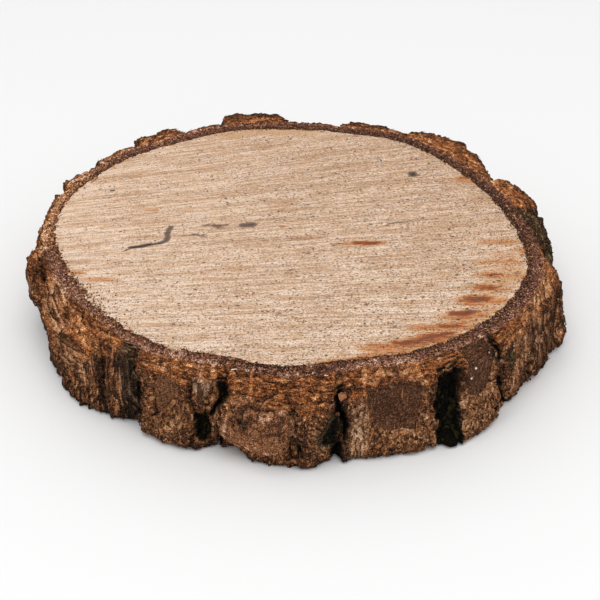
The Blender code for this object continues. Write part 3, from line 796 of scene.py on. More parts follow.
def face_relief(field, points, ribs):
    """The plates' faces: upright ribs, and flakes that break off in layers."""
    sway = np.stack([0.9 * read(noise.noise, points, 4.0, seed) for seed in (34, 35, 36)], axis=-1)
    swell = 2.6 * read(crumbly, points + sway, (9.0, 9.0, 12.0), 3) + 0.45 * read(rough, points, 2.6, 37)
    step, edge, foot, tone = layered(2.0 + 1.2 * swell, 0.08)
    flaky = np.clip(1.3 - field["ridge"], 0.0, 1.0)
    ribbed = np.clip(field["ridge"] - 0.3, 0.0, 1.5)
    grit, grit_tone, _ = chips(points + 0.6 * sway, (1.2, 1.2, 3.4), 11)
    slat, slat_tone, slat_crack = chips(points + 0.5 * sway, (2.1, 2.1, 24.0), 12)
    relief = flaky * (0.5 * swell + 1.5 * step + 0.08 * grit)
    relief += field["ridge"] * (ribs - 0.3) + ribbed * (1.6 * slat + 0.2 * grit - 0.5)
    # Feet of layers and gaps between slats, where the finish paints shade
    crack = np.maximum(flaky * foot, np.minimum(ribbed, 1.0) * slat_crack)
    tone = np.where(ribbed > 0.5, slat_tone, 0.7 * tone + 0.3 * grit_tone)
    return relief, flaky * edge, crack, tone


def bark_surface(length):
    """Every point of a length of bark, by row and column, and the masks that its finish reads."""
    points, field = bark_points(length)
    turn = np.radians(field["degrees"])
    out = np.hypot(points[..., 0], points[..., 1]) - wood_radius(field["degrees"])
    face, torn, sawn = field["face"], field["torn"], field["sawn"]
    plain = 1.0 - 0.8 * np.maximum(field["skin"], np.maximum(field["smooth"], field["flake"]))
    torn = torn * (1.0 - 0.7 * np.maximum(field["skin"], np.maximum(field["smooth"], field["pale"])))
    ribs = read(ridged, points, (2.3, 2.3, 24.0), 4)
    field["ridge"] = field["ridge"] + 1.2 * field["pale"]
    torn_rise, torn_edge_highlight, torn_crack_shade, torn_tone = torn_relief(field, points, turn, out - 0.8 * points[..., 2])
    face_rise, face_edge_highlight, face_foot_shade, face_tone = face_relief(field, points, ribs)
    bare_face = face * plain * (1.0 - 0.8 * torn)
    drawn_rise, drawn_value, drawn_share = drawn_strands(field, points)
    relief = (torn * torn_rise + bare_face * face_rise) * (1.0 - 0.8 * drawn_share)
    relief += drawn_rise - EVEN_SINKING * (1.0 - sawn)
    relief += 0.40 * sawn * read(crumbly, points, (1.3, 1.3, 1.5), 5)
    bent = points + 0.5 * read(noise.noise, points, 1.7, 38)[..., None]
    splits = read(ridged, bent, (1.1, 1.1, 2.6), 39)
    relief += (0.10 * torn + 0.16 * face * plain + 0.10 * field["crumb"]) * splits
    mossy = smooth(0.35, 0.7, field["moss"])
    relief += mossy * (0.3 + 0.5 * read(crumbly, points, (1.1, 1.1, 1.6), 30))
    edge = np.maximum(field["rim"], np.maximum(torn * torn_edge_highlight, bare_face * face_edge_highlight) * (1.0 - drawn_share))
    foot = np.maximum(torn * torn_crack_shade, bare_face * face_foot_shade) * (1.0 - drawn_share)
    relief *= field["loose"] * smooth(0.0, 1.5, points[..., 2])
    points = points + np.clip(relief, -2.6, 1.3)[..., None] * surface_normals(points)
    points[..., 2] = np.clip(points[..., 2], FLOOR_CLEARANCE, THICKNESS + 0.3)
    masks = {name: field[name] for name in ("sawn", "torn", "face", "depth", *KINDS)}
    # Rims of patches, flakes and chips: pale edges, and painted highlight that the finish lays on them
    masks["rim"] = edge * np.clip(0.6 + read(noise.noise, points, 2.5, 23), 0.0, 1.0)
    # Feet of steps and cracks between chips, where the finish paints shade
    masks["foot"] = foot * np.clip(0.7 + read(noise.noise, points, 3.5, 24), 0.0, 1.0)
    masks["rib"] = np.clip(0.5 + 0.5 * face * field["ridge"] * (ribs - 0.62), 0.0, 1.0)
    masks["tone"] = 0.5 + (torn * (torn_tone - 0.5) + face * (1.0 - torn) * (face_tone - 0.5)) * plain
    masks["out"] = np.clip(out / OUT_SCALE, 0.0, 1.0)
    masks["strand"] = np.clip(0.5 + 0.5 * drawn_value, 0.0, 1.0)
    masks["drawn"] = drawn_share
    # Crest, swell and deep: how far each point stands out at three reaches, for painted highlight on crests and painted
    # shade in hollows
    for name, reach, gain in HOLLOWS:
        masks[name] = np.clip(0.5 + bulge(points, reach) * gain, 0.0, 1.0)
    return points, masks


def add_bark(length):
    """A length of bark: a sheet rolled into a closed band, with its two ends capped. Gives its points and masks."""
    points, masks = bark_surface(length)
    rows, columns = points.shape[:2]
    bark = add_sheet(length.name, columns - 1, rows)
    set_points(bark, np.concatenate([points, points[:1]]).reshape(-1, 3))
    for name, values in masks.items():
        keep_mask(bark, name, np.concatenate([values, values[:1]]))
    select_all_of(bark)
    bpy.ops.object.mode_set(mode="EDIT")
    bpy.ops.mesh.select_all(action="SELECT")
    bpy.ops.mesh.remove_doubles(threshold=1e-6)
    bpy.ops.mesh.select_all(action="DESELECT")
    bpy.ops.mesh.select_mode(type="EDGE")
    bpy.ops.mesh.select_non_manifold()
    bpy.ops.mesh.fill_holes(sides=0)
    bpy.ops.mesh.select_all(action="SELECT")
    bpy.ops.mesh.normals_make_consistent(inside=False)
    bpy.ops.mesh.select_mode(type="VERT")
    bpy.ops.object.mode_set(mode="OBJECT")
    bark.data.materials.append(bark_finish())
    bark.data.shade_smooth()
    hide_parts("bark")
    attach(bark, "root")
    return points, masks


def wood_outline():
    """The sawn face's edge, a little nibbled: the angle and the distance from the saw's pivot of each point."""
    degrees = np.arange(OUTLINE_POINTS) * 360.0 / OUTLINE_POINTS
    radius = wood_radius(degrees) + edge_shift(degrees)
    x = radius * np.cos(np.radians(degrees)) - SAW_PIVOT[0]
    y = radius * np.sin(np.radians(degrees)) - SAW_PIVOT[1]
    return np.arctan2(y, x), np.hypot(x, y)


def wood_face():
    """Points of the sawn face in rows along the saw's marks, each row from edge to edge."""
    swing, reach = wood_outline()
    first, last = swing.argmin(), swing.argmax()
    order = np.arange(OUTLINE_POINTS)
    far = np.roll(order, -first)[: (last - first) % OUTLINE_POINTS + 1]
    near = np.roll(order, -last)[: (first - last) % OUTLINE_POINTS + 1]
    inset = 0.25 / SAW_REACH
    angles = np.linspace(swing[first] + inset, swing[last] - inset, WOOD_ROWS + 1)
    far_order = far[np.argsort(swing[far])]
    near_order = near[np.argsort(swing[near])]
    outer = np.interp(angles, swing[far_order], reach[far_order])
    inner = np.interp(angles, swing[near_order], reach[near_order])
    share = np.linspace(0.0, 1.0, WOOD_COLUMNS + 1)
    distance = inner[:, None] + (outer - inner)[:, None] * share
    along = np.stack([distance, np.broadcast_to(angles[:, None] * SAW_REACH, distance.shape)], axis=-1)
    x = SAW_PIVOT[0] + distance * np.cos(angles)[:, None]
    y = SAW_PIVOT[1] + distance * np.sin(angles)[:, None]
    return np.stack([x, y], axis=-1), along


def saw_relief(along):
    """The height of the saw's marks over the sawn face."""
    marks = np.stack([along[..., 0], along[..., 1], np.zeros(along.shape[:-1])], axis=-1)
    lines = read(rough, marks, (60.0, 1.6, 1.0), 13)
    swells = read(noise.noise, marks, (90.0, 9.0, 1.0), 14)
    fuzz = read(noise.noise, marks, (2.5, 0.9, 1.0), 15)
    return 0.10 * lines + 0.08 * swells + 0.04 * fuzz


def wood_marks(flat):
    """How strongly each kind of mark shows at each place on the sawn face."""
    shown = {kind: np.zeros(flat.shape[:-1]) for kind in MARK_KINDS}
    spots = np.concatenate([flat, np.zeros_like(flat[..., :1])], axis=-1)
    ragged = 0.9 * read(rough, spots, (2.6, 0.9, 1.0), 31) + 0.5 * read(rough, spots, (8.0, 2.0, 1.0), 32)
    for mark in MARKS:
        gap = np.full(flat.shape[:-1], np.inf)
        for start, end in zip(mark.points, mark.points[1:]):
            step = np.subtract(end, start)
            along = np.clip(((flat - start) @ step) / (step @ step), 0.0, 1.0)
            away = (flat - start - along[..., None] * step) * (MARK_STRETCH[mark.kind], 1.0)
            gap = np.minimum(gap, np.hypot(away[..., 0], away[..., 1]))
        gap = np.maximum(0.0, gap + ragged * min(1.2, mark.width) * MARK_RAGGED[mark.kind])
        value = mark.strength * np.exp(-0.7 * (gap / mark.width) ** 2)
        shown[mark.kind] = np.maximum(shown[mark.kind], value)
    return shown


def add_wood():
    """The sawn disc: its upper face follows the saw's marks, and its edge is drawn down to the underside."""
    flat, along = wood_face()
    disc = add_sheet("sawn_disc", WOOD_COLUMNS, WOOD_ROWS)
    height = THICKNESS + saw_relief(along)[..., None]
    set_points(disc, np.concatenate([flat, height], axis=-1).reshape(-1, 3))
    for name, values in wood_marks(flat).items():
        keep_mask(disc, name, values)
    keep_mask(disc, "reach", along[..., 0])
    keep_mask(disc, "swing", along[..., 1])
    select_all_of(disc)
    bpy.ops.object.mode_set(mode="EDIT")
    bpy.ops.mesh.select_all(action="SELECT")
    bpy.ops.mesh.region_to_loop()
    bpy.ops.mesh.extrude_edges_move()
    bpy.ops.object.mode_set(mode="OBJECT")
    for vertex in disc.data.vertices:
        if vertex.select:
            vertex.co.z = 0.0
    bpy.ops.object.mode_set(mode="EDIT")
    bpy.ops.mesh.edge_face_add()
    bpy.ops.mesh.select_all(action="SELECT")
    bpy.ops.mesh.normals_make_consistent(inside=False)
    bpy.ops.object.mode_set(mode="OBJECT")
    disc.data.materials.append(wood_finish())
    disc.data.shade_smooth()
    select_all_of(disc)
    bpy.ops.object.shade_smooth_by_angle(angle=math.radians(40.0))
    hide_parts("wood")
    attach(disc, "root")
    return disc


def put(tree, kind, feeds=None, **settings):
    """Adds a node, sets it, and feeds its inputs with numbers, colours or other nodes' outputs."""
    node = tree.nodes.new("ShaderNode" + kind)
    for name, value in settings.items():
        setattr(node, name, value)
    for name, value in (feeds or {}).items():
        if isinstance(value, bpy.types.NodeSocket):
            tree.links.new(value, node.inputs[name])
        else:
            node.inputs[name].default_value = value
    return node


def reckon(tree, how, *values):
    """One number from others: how is the operation."""
    return put(tree, "Math", dict(enumerate(values)), operation=how).outputs[0]


def add_up(tree, *terms):
    """The sum of values times weights, after a first plain number."""
    total = terms[0]
    for value, weight in terms[1:]:
        total = reckon(tree, "MULTIPLY_ADD", value, weight, total)
    return total


def between(tree, value, low, high):
    """0 at low and 1 at high, with an even curve between."""
    feeds = {"Value": value, "From Min": low, "From Max": high}
    return put(tree, "MapRange", feeds, interpolation_type="SMOOTHSTEP").outputs[0]


def mask_of(tree, name):
    return put(tree, "Attribute", attribute_name=name).outputs["Fac"]


def stretch(tree, place, sizes):
    """The place measured in lengths of its own on each axis."""
    share = tuple(1.0 / size for size in sizes)
    return put(tree, "VectorMath", {0: place, 1: share}, operation="MULTIPLY").outputs[0]


def cloud(tree, place, detail=2.0, roughness=0.5):
    feeds = {"Vector": place, "Scale": 1.0, "Detail": detail, "Roughness": roughness}
    return put(tree, "TexNoise", feeds).outputs[0]


def shades(tree, value, stops):
    """A colour for each value, from a list of places and colours."""
    node = put(tree, "ValToRGB", {"Fac": value})
    ramp = node.color_ramp
    while len(ramp.elements) < len(stops):
        ramp.elements.new(0.5)
    for element, (place, colour) in zip(ramp.elements, stops):
        element.position = place
        element.color = (*colour, 1.0)
    return node.outputs["Color"]


def blend(tree, share, under, over, how="MIX"):
    """Lays one colour over another by a share from 0 to 1."""
    node = put(tree, "Mix", {0: share}, data_type="RGBA", blend_type=how)
    for name, colour in ((6, under), (7, over)):
        if isinstance(colour, bpy.types.NodeSocket):
            tree.links.new(colour, node.inputs[name])
        else:
            node.inputs[name].default_value = (*colour, 1.0)
    return node.outputs[2]


def new_group(name, inputs, outputs):
    """An empty effect with named inputs and outputs, given as pairs of name and kind."""
    group = bpy.data.node_groups.new(name, "ShaderNodeTree")
    for title, kind in inputs:
        group.interface.new_socket(title, in_out="INPUT", socket_type="NodeSocket" + kind)
    for title, kind in outputs:
        group.interface.new_socket(title, in_out="OUTPUT", socket_type="NodeSocket" + kind)
    return group, group.nodes.new("NodeGroupInput").outputs, group.nodes.new("NodeGroupOutput").inputs


def use_group(tree, group, feeds):
    node = tree.nodes.new("ShaderNodeGroup")
    node.node_tree = group
    for name, value in feeds.items():
        if isinstance(value, bpy.types.NodeSocket):
            tree.links.new(value, node.inputs[name])
        else:
            node.inputs[name].default_value = value
    return node.outputs


def make_place():
    """Effect: a place on the slice in millimetres about the wood's own centre."""
    group, given, made = new_group("place_in_mm", [], [("Place", "Vector")])
    spot = put(group, "TexCoord").outputs["Object"]
    scaled = put(group, "VectorMath", {0: spot, "Scale": PER_METRE}, operation="SCALE").outputs[0]
    centred = put(group, "VectorMath", {0: scaled, 1: tuple(SLIDE)}, operation="SUBTRACT").outputs[0]
    group.links.new(centred, made["Place"])
    return group


def make_grain():
    """Effect: crumbly grain at three sizes, each from 0 to 1 about 0.5."""
    sizes = (("Fine", 0.48, 1.5), ("Middle", 1.3, 3.0), ("Broad", 9.0, 3.0))
    group, given, made = new_group("grain", [("Place", "Vector")], [(name, "Float") for name in ("Fine", "Middle", "Broad", "Seams")])
    for name, size, detail in sizes:
        value = cloud(group, stretch(group, given["Place"], (size, size, size)), detail, 0.6)
        spread = put(group, "MapRange", {"Value": value, "From Min": 0.28, "From Max": 0.72}).outputs[0]
        group.links.new(spread, made[name])
    sway = put(group, "TexNoise", {"Vector": given["Place"], "Scale": 0.55, "Detail": 3.0}).outputs["Color"]
    bent = put(group, "VectorMath", {0: sway, 1: (3.0, 3.0, 3.0), 2: given["Place"]}, operation="MULTIPLY_ADD").outputs[0]
    cells = put(group, "TexVoronoi", {"Vector": stretch(group, bent, (2.4, 2.4, 3.6)), "Scale": 1.0}, feature="DISTANCE_TO_EDGE")
    group.links.new(between(group, cells.outputs["Distance"], 0.09, 0.0), made["Seams"])
    return group


def make_strands():
    """Effect: fibres that run round the ring or up it, and the thin gaps between layers and between ribs."""
    names = ("Round", "Upright", "Layers", "Cracks")
    group, given, made = new_group("strands", [("Place", "Vector")], [(name, "Float") for name in names])
    axes = put(group, "SeparateXYZ", {0: given["Place"]}).outputs
    flat = put(group, "VectorMath", {0: given["Place"], 1: (1.0, 1.0, 0.0)}, operation="MULTIPLY").outputs[0]
    out = put(group, "VectorMath", {0: flat}, operation="LENGTH").outputs["Value"]
    around = put(group, "VectorMath", {0: flat}, operation="NORMALIZE").outputs[0]
    turn = put(group, "SeparateXYZ", {0: around}).outputs
    reach = reckon(group, "DIVIDE", out, 0.75)
    aside = [reckon(group, "MULTIPLY", turn[axis], STRANDS_EACH_RADIAN) for axis in (0, 1)]
    spot = put(group, "CombineXYZ", {0: aside[0], 1: aside[1], 2: reach}).outputs[0]
    feeds = {"Vector": spot, "W": reckon(group, "DIVIDE", axes[2], 0.75), "Scale": 1.0, "Detail": 3.0, "Roughness": 0.65, "Distortion": 0.5}
    round_value = put(group, "TexNoise", feeds, noise_dimensions="4D").outputs[0]
    upright = cloud(group, stretch(group, given["Place"], (0.7, 0.7, 9.0)), 3.0, 0.6)
    for name, value in (("Round", round_value), ("Upright", upright)):
        spread = put(group, "MapRange", {"Value": value, "From Min": 0.28, "From Max": 0.72}).outputs[0]
        group.links.new(spread, made[name])
    wide = put(group, "VectorMath", {0: spot, "Scale": 0.36}, operation="SCALE").outputs[0]
    feeds = {"Vector": wide, "W": reckon(group, "DIVIDE", axes[2], 1.7), "Scale": 1.0, "Detail": 2.0, "Distortion": 0.8}
    layers = put(group, "TexNoise", feeds, noise_dimensions="4D").outputs[0]
    cracks = cloud(group, stretch(group, given["Place"], (2.4, 2.4, 14.0)), 2.0, 0.5)
    for name, value in (("Layers", layers), ("Cracks", cracks)):
        off = reckon(group, "ABSOLUTE", reckon(group, "SUBTRACT", value, 0.5))
        group.links.new(between(group, off, 0.035, 0.0), made[name])
    return group


def make_specks():
    """Effect: small separate specks. Share of the cells that hold one; Shade differs from speck to speck."""
    inputs = [("Place", "Vector"), ("Share", "Float"), ("Size", "Float")]
    group, given, made = new_group("specks", inputs, [("Mask", "Float"), ("Shade", "Float")])
    cell = put(group, "TexVoronoi", {"Vector": given["Place"], "Scale": 1.0}).outputs
    draw = put(group, "SeparateColor", {0: cell["Color"]}).outputs
    radius = reckon(group, "MULTIPLY", given["Size"], reckon(group, "MULTIPLY_ADD", draw[1], 0.6, 0.4))
    solid = between(group, reckon(group, "DIVIDE", cell["Distance"], radius), 1.0, 0.3)
    kept = reckon(group, "LESS_THAN", draw[0], given["Share"])
    group.links.new(reckon(group, "MULTIPLY", solid, kept), made["Mask"])
    group.links.new(draw[2], made["Shade"])
    return group


EFFECTS = {}


def make_effects():
    EFFECTS.update(place=make_place(), grain=make_grain(), strands=make_strands(), specks=make_specks())


def new_finish(name, roughness):
    finish = bpy.data.materials.new(name)
    finish.use_nodes = True
    surface = finish.node_tree.nodes["Principled BSDF"]
    surface.inputs["Roughness"].default_value = roughness
    surface.inputs["Specular IOR Level"].default_value = 0.25
    return finish, finish.node_tree, surface


def raise_grain(tree, surface, height, depth_mm):
    """Feeds the surface a normal raised by a height from 0 to 1."""
    feeds = {"Strength": 1.0, "Distance": depth_mm * MM, "Height": height}
    tree.links.new(put(tree, "Bump", feeds).outputs["Normal"], surface.inputs["Normal"])


def speckle(tree, colour, fine, strength):
    """Makes a colour darker and lighter with a fine grain. Its light grains are paler rather than brighter."""
    share = reckon(tree, "MULTIPLY_ADD", reckon(tree, "SUBTRACT", fine, 0.5), strength, 1.0)
    dappled = put(tree, "VectorMath", {0: colour, "Scale": share}, operation="SCALE").outputs[0]
    light = reckon(tree, "MULTIPLY", between(tree, fine, 0.5, 1.0), strength)
    return blend(tree, light, dappled, GRAIN_LIGHT, "ADD")


def wood_finish():
    """Pale sawn wood: streaks and specks along the saw's marks, rust, grey tracks and a warm tint."""
    finish, tree, surface = new_finish("sawn_wood", 0.8)
    place = use_group(tree, EFFECTS["place"], {})["Place"]
    grain = use_group(tree, EFFECTS["grain"], {"Place": place})
    reach, swing = mask_of(tree, "reach"), mask_of(tree, "swing")
    saw = put(tree, "CombineXYZ", {0: reach, 1: swing}).outputs[0]
    axes = put(tree, "SeparateXYZ", {0: place}).outputs
    lines = cloud(tree, stretch(tree, saw, (34.0, 1.0, 1.0)), 3.0, 0.6)
    bands = cloud(tree, stretch(tree, saw, (60.0, 5.0, 1.0)), 2.0, 0.5)
    dashes = cloud(tree, stretch(tree, saw, (4.0, 0.8, 1.0)), 2.0, 0.6)
    hues = cloud(tree, stretch(tree, saw, (17.0, 1.7, 1.0)), 2.0, 0.6)
    scratches = cloud(tree, stretch(tree, saw, (70.0, 2.3, 1.0)), 1.0, 0.5)
    scratch = between(tree, reckon(tree, "ABSOLUTE", reckon(tree, "SUBTRACT", scratches, 0.5)), 0.028, 0.0)
    scratch = reckon(tree, "MULTIPLY", scratch, between(tree, dashes, 0.35, 0.6))
    tone = add_up(tree, -3.31, (lines, 2.9), (bands, 1.3), (dashes, 1.9), (grain["Fine"], 1.0))
    # The last two terms paint light: the face grows lighter to the left and towards the front.
    tone = add_up(tree, tone, (grain["Middle"], 0.4), (grain["Broad"], 0.25), (axes[0], -0.0007), (axes[1], -0.0014))
    colour = shades(tree, tone, WOOD_SHADES)
    streak = reckon(tree, "MULTIPLY", between(tree, hues, 0.46, 0.70), 0.85)
    colour = blend(tree, streak, colour, WOOD_STREAK)
    colour = blend(tree, reckon(tree, "MULTIPLY", scratch, 0.7), colour, WOOD_SCRATCH)
    warm = between(tree, add_up(tree, mask_of(tree, "tint"), (bands, 1.1), (lines, 1.2)), 1.25, 1.85)
    colour = blend(tree, warm, colour, WOOD_WARM)
    ruffle = add_up(tree, -1.45, (lines, 1.2), (dashes, 1.2), (grain["Fine"], 0.5))
    stain = reckon(tree, "MAXIMUM", reckon(tree, "MULTIPLY", mask_of(tree, "rust"), 0.62), mask_of(tree, "core"))
    rust = reckon(tree, "MULTIPLY_ADD", ruffle, between(tree, stain, 0.02, 0.3), stain)
    colour = blend(tree, between(tree, rust, 0.06, 0.3), colour, shades(tree, rust, RUST_SHADES))
    brown = between(tree, reckon(tree, "ADD", mask_of(tree, "brown"), ruffle), 0.1, 0.6)
    colour = blend(tree, brown, colour, WOOD_BROWN)
    grey = reckon(tree, "MULTIPLY_ADD", ruffle, 0.35, mask_of(tree, "grey"))
    colour = blend(tree, between(tree, grey, 0.2, 0.45), colour, shades(tree, grey, GREY_SHADES))
    colour = speckle(tree, colour, grain["Fine"], 0.16)
    crowd = between(tree, add_up(tree, grain["Broad"], (axes[0], 0.006), (axes[1], -0.003)), -0.45, 0.9)
    for size, share, strength in SPECK_SIZES:
        spot = stretch(tree, saw, (size * 1.3, size, 1.0))
        thick = reckon(tree, "MULTIPLY", crowd, share)
        speck = use_group(tree, EFFECTS["specks"], {"Place": spot, "Share": thick, "Size": 0.48})
        fade = reckon(tree, "MULTIPLY", speck["Mask"], reckon(tree, "MULTIPLY_ADD", speck["Shade"], 0.7, strength - 0.35))
        colour = blend(tree, fade, colour, blend(tree, speck["Shade"], WOOD_SPECK, WOOD_FLECK))
    tree.links.new(colour, surface.inputs["Base Color"])
    height = add_up(tree, 0.0, (lines, 0.6), (grain["Fine"], 0.3), (dashes, 0.3))
    raise_grain(tree, surface, height, 0.12)
    return finish


def bark_finish():
    """Bark: torn orange-brown fibres, grey-brown plates, the dark sawn band with sawdust, and moss, with painted shade
    in hollows and fissures and painted highlight on crests and rims.
    """
    if "rough_bark" in bpy.data.materials:
        return bpy.data.materials["rough_bark"]
    finish, tree, surface = new_finish("rough_bark", 0.85)
    surface.inputs["Specular IOR Level"].default_value = 0.08
    place = use_group(tree, EFFECTS["place"], {})["Place"]
    grain = use_group(tree, EFFECTS["grain"], {"Place": place})
    strands = use_group(tree, EFFECTS["strands"], {"Place": place})
    axes = put(tree, "SeparateXYZ", {0: place}).outputs
    mask = {name: mask_of(tree, name) for name in BARK_MASKS}
    # light: painted highlight on crests and rims and painted shade in hollows, under ledges and in cracks, over the
    # chips' own tone and the grain
    light = add_up(tree, -0.70, (mask["crest"], 0.40), (mask["swell"], 0.50), (mask["deep"], 0.40), (mask["tone"], 0.27))
    light = add_up(tree, light, (grain["Middle"], 0.40), (grain["Broad"], 0.3), (mask["rim"], 0.75), (mask["foot"], -0.6), (grain["Seams"], -0.24))
    light = add_up(tree, -0.78, (light, 1.0), (mask["strand"], 1.6))
    plain = reckon(tree, "MULTIPLY_ADD", mask["drawn"], -0.6, 1.0)
    frayed = reckon(tree, "MULTIPLY", reckon(tree, "SUBTRACT", strands["Round"], 0.5), plain)
    combed = reckon(tree, "MULTIPLY", reckon(tree, "SUBTRACT", strands["Upright"], 0.5), plain)
    fibred = add_up(tree, 0.20, (light, 0.72), (frayed, 0.66), (strands["Layers"], -0.3))
    upright = add_up(tree, -0.16, (light, 0.85), (combed, 0.48), (strands["Cracks"], -0.25), (mask["rib"], 0.55))
    # aside: the bark is made lighter towards both sides, by the distance across from the middle
    aside = reckon(tree, "MULTIPLY", reckon(tree, "ABSOLUTE", axes[0]), 0.0009)
    fibred, upright = (add_up(tree, -0.06, (value, 1.0), (aside, 1.7)) for value in (fibred, upright))
    even = add_up(tree, 0.0, (upright, 0.5), (light, 0.5))
    colour = shades(tree, upright, FACE_SHADES)
    colour = blend(tree, mask["torn"], colour, shades(tree, fibred, TORN_SHADES))
    colour = blend(tree, mask["crumb"], colour, shades(tree, upright, CRUMB_SHADES))
    colour = blend(tree, mask["smooth"], colour, shades(tree, even, SMOOTH_SHADES))
    colour = blend(tree, mask["flake"], colour, shades(tree, even, FLAKE_SHADES))
    colour = blend(tree, mask["skin"], colour, shades(tree, even, SKIN_SHADES))
    colour = blend(tree, mask["fibre"], colour, shades(tree, upright, FIBRE_SHADES))
    colour = blend(tree, reckon(tree, "MULTIPLY", mask["drawn"], 0.55), colour, shades(tree, fibred, FIBRE_SHADES))
    colour = blend(tree, mask["pale"], colour, shades(tree, upright, PALE_SHADES))
    # Painted shade on the dark patches
    colour = blend(tree, mask["dark"], colour, shades(tree, light, PAINTED_SHADE_SHADES))
    colour = blend(tree, reckon(tree, "MULTIPLY", mask["stain"], 0.9), colour, shades(tree, upright, STAIN_SHADES))
    colour = blend(tree, reckon(tree, "MULTIPLY", mask["green"], 0.9), colour, shades(tree, light, GREEN_SHADES))
    dusty = add_up(tree, -0.46, (axes[0], -0.0011), (aside, 0.9), (light, 0.8), (grain["Fine"], 0.55), (grain["Middle"], 0.55))
    nearer = reckon(tree, "MINIMUM", axes[1], 0.0)
    left = add_up(tree, -0.3, (axes[0], -0.01), (nearer, 0.009), (grain["Broad"], 0.15), (grain["Middle"], 0.15))
    left = between(tree, left, 0.72, 0.88)
    inner = between(tree, add_up(tree, mask["out"], (grain["Middle"], 0.12), (grain["Broad"], 0.08)), 0.15, 0.1)
    band = blend(tree, reckon(tree, "MAXIMUM", left, inner), shades(tree, dusty, BAND_SHADES), shades(tree, dusty, RIND_SHADES))
    sawn = between(tree, add_up(tree, mask["sawn"], (grain["Fine"], 0.5), (grain["Middle"], 0.5)), 0.75, 1.1)
    colour = blend(tree, reckon(tree, "MULTIPLY", sawn, between(tree, mask["sawn"], 0.0, 0.1)), colour, band)
    # Painted shade in the fissures and slots, less on fibre patches
    shade = reckon(tree, "MULTIPLY", mask["depth"], reckon(tree, "MULTIPLY_ADD", mask["fibre"], -0.7, 0.85))
    colour = blend(tree, shade, colour, shades(tree, light, PAINTED_SHADE_SHADES))
    damp = add_up(tree, mask["moss"], (grain["Fine"], 0.35), (grain["Middle"], 0.45), (grain["Broad"], 0.3))
    colour = blend(tree, between(tree, damp, 0.9, 1.3), colour, shades(tree, light, MOSS_SHADES))
    colour = speckle(tree, colour, grain["Fine"], add_up(tree, 2.0, (mask["moss"], -1.8), (mask["stain"], -1.0), (mask["sawn"], -0.5), (mask["drawn"], -0.7), (mask["skin"], -0.7)))
    tree.links.new(colour, surface.inputs["Base Color"])
    rough_height = add_up(tree, 0.0, (grain["Fine"], 0.5), (grain["Middle"], 0.3))
    fibre_height = reckon(tree, "MULTIPLY", strands["Round"], mask["torn"])
    upright_height = reckon(tree, "MULTIPLY", strands["Upright"], reckon(tree, "SUBTRACT", 1.0, mask["torn"]))
    height = add_up(tree, rough_height, (fibre_height, 0.6), (upright_height, 0.5))
    raise_grain(tree, surface, height, 0.5)
    return finish


def loose_finish(name, stops, grain_strength):
    """The finish of scattered bits, each with a tone of its own, over a fine grain."""
    finish, tree, surface = new_finish(name, 0.85)
    surface.inputs["Specular IOR Level"].default_value = 0.08
    place = use_group(tree, EFFECTS["place"], {})["Place"]
    grain = use_group(tree, EFFECTS["grain"], {"Place": place})
    tone = add_up(tree, -0.25, (mask_of(tree, "tone"), 1.0), (grain["Middle"], 0.25), (grain["Broad"], 0.25))
    colour = speckle(tree, shades(tree, tone, stops), grain["Fine"], grain_strength)
    tree.links.new(colour, surface.inputs["Base Color"])
    raise_grain(tree, surface, grain["Fine"], 0.1)
    return finish


def crumb_master():
    """One crumb of bark, about 1 mm across."""
    bpy.ops.mesh.primitive_cube_add(size=0.75)
    bpy.ops.object.mode_set(mode="EDIT")
    bpy.ops.mesh.select_all(action="SELECT")
    bpy.ops.transform.vertex_random(offset=0.3, seed=4)
    bpy.ops.object.mode_set(mode="OBJECT")


def drawn_master(corners, steps):
    """A length drawn up from a small polygon: each step is how far up, how far aside and how much narrower."""
    bpy.ops.mesh.primitive_circle_add(vertices=corners, radius=0.5, fill_type="NGON")
    bpy.ops.object.mode_set(mode="EDIT")
    bpy.ops.mesh.select_all(action="SELECT")
    for up, aside, narrower in steps:
        bpy.ops.mesh.extrude_region_move(TRANSFORM_OT_translate={"value": (aside, 0.0, up)})
        bpy.ops.transform.resize(value=(narrower, narrower, 1.0))
    bpy.ops.mesh.select_all(action="SELECT")
    bpy.ops.mesh.normals_make_consistent(inside=False)
    bpy.ops.object.mode_set(mode="OBJECT")


def fibre_master():
    drawn_master(4, ((0.25, 0.25, 1.15), (0.3, 0.1, 0.9), (0.25, -0.35, 0.75), (0.2, -0.4, 0.4)))


def blade_master():
    drawn_master(3, ((0.55, 0.15, 0.8), (0.45, 0.45, 0.25)))


def flake_master():
    """A thin scale of bark with a ragged edge, 1 mm long and wide."""
    bpy.ops.mesh.primitive_circle_add(vertices=11, radius=0.5, fill_type="NGON")
    bpy.ops.object.mode_set(mode="EDIT")
    bpy.ops.mesh.select_all(action="SELECT")
    bpy.ops.mesh.extrude_region_move(TRANSFORM_OT_translate={"value": (0.0, 0.0, 1.0)})
    bpy.ops.transform.resize(value=(0.86, 0.86, 1.0))
    bpy.ops.mesh.select_all(action="SELECT")
    bpy.ops.transform.vertex_random(offset=0.09, seed=9)
    bpy.ops.mesh.normals_make_consistent(inside=False)
    bpy.ops.object.mode_set(mode="OBJECT")


def master_form(make):
    """Models a master, and gives back its points and its faces as triangles."""
    bpy.ops.object.select_all(action="DESELECT")
    make()
    piece = bpy.context.active_object
    piece.data.calc_loop_triangles()
    points = np.array([vertex.co for vertex in piece.data.vertices])
    faces = np.array([triangle.vertices for triangle in piece.data.loop_triangles])
    bpy.data.objects.remove(piece)
    return points, faces


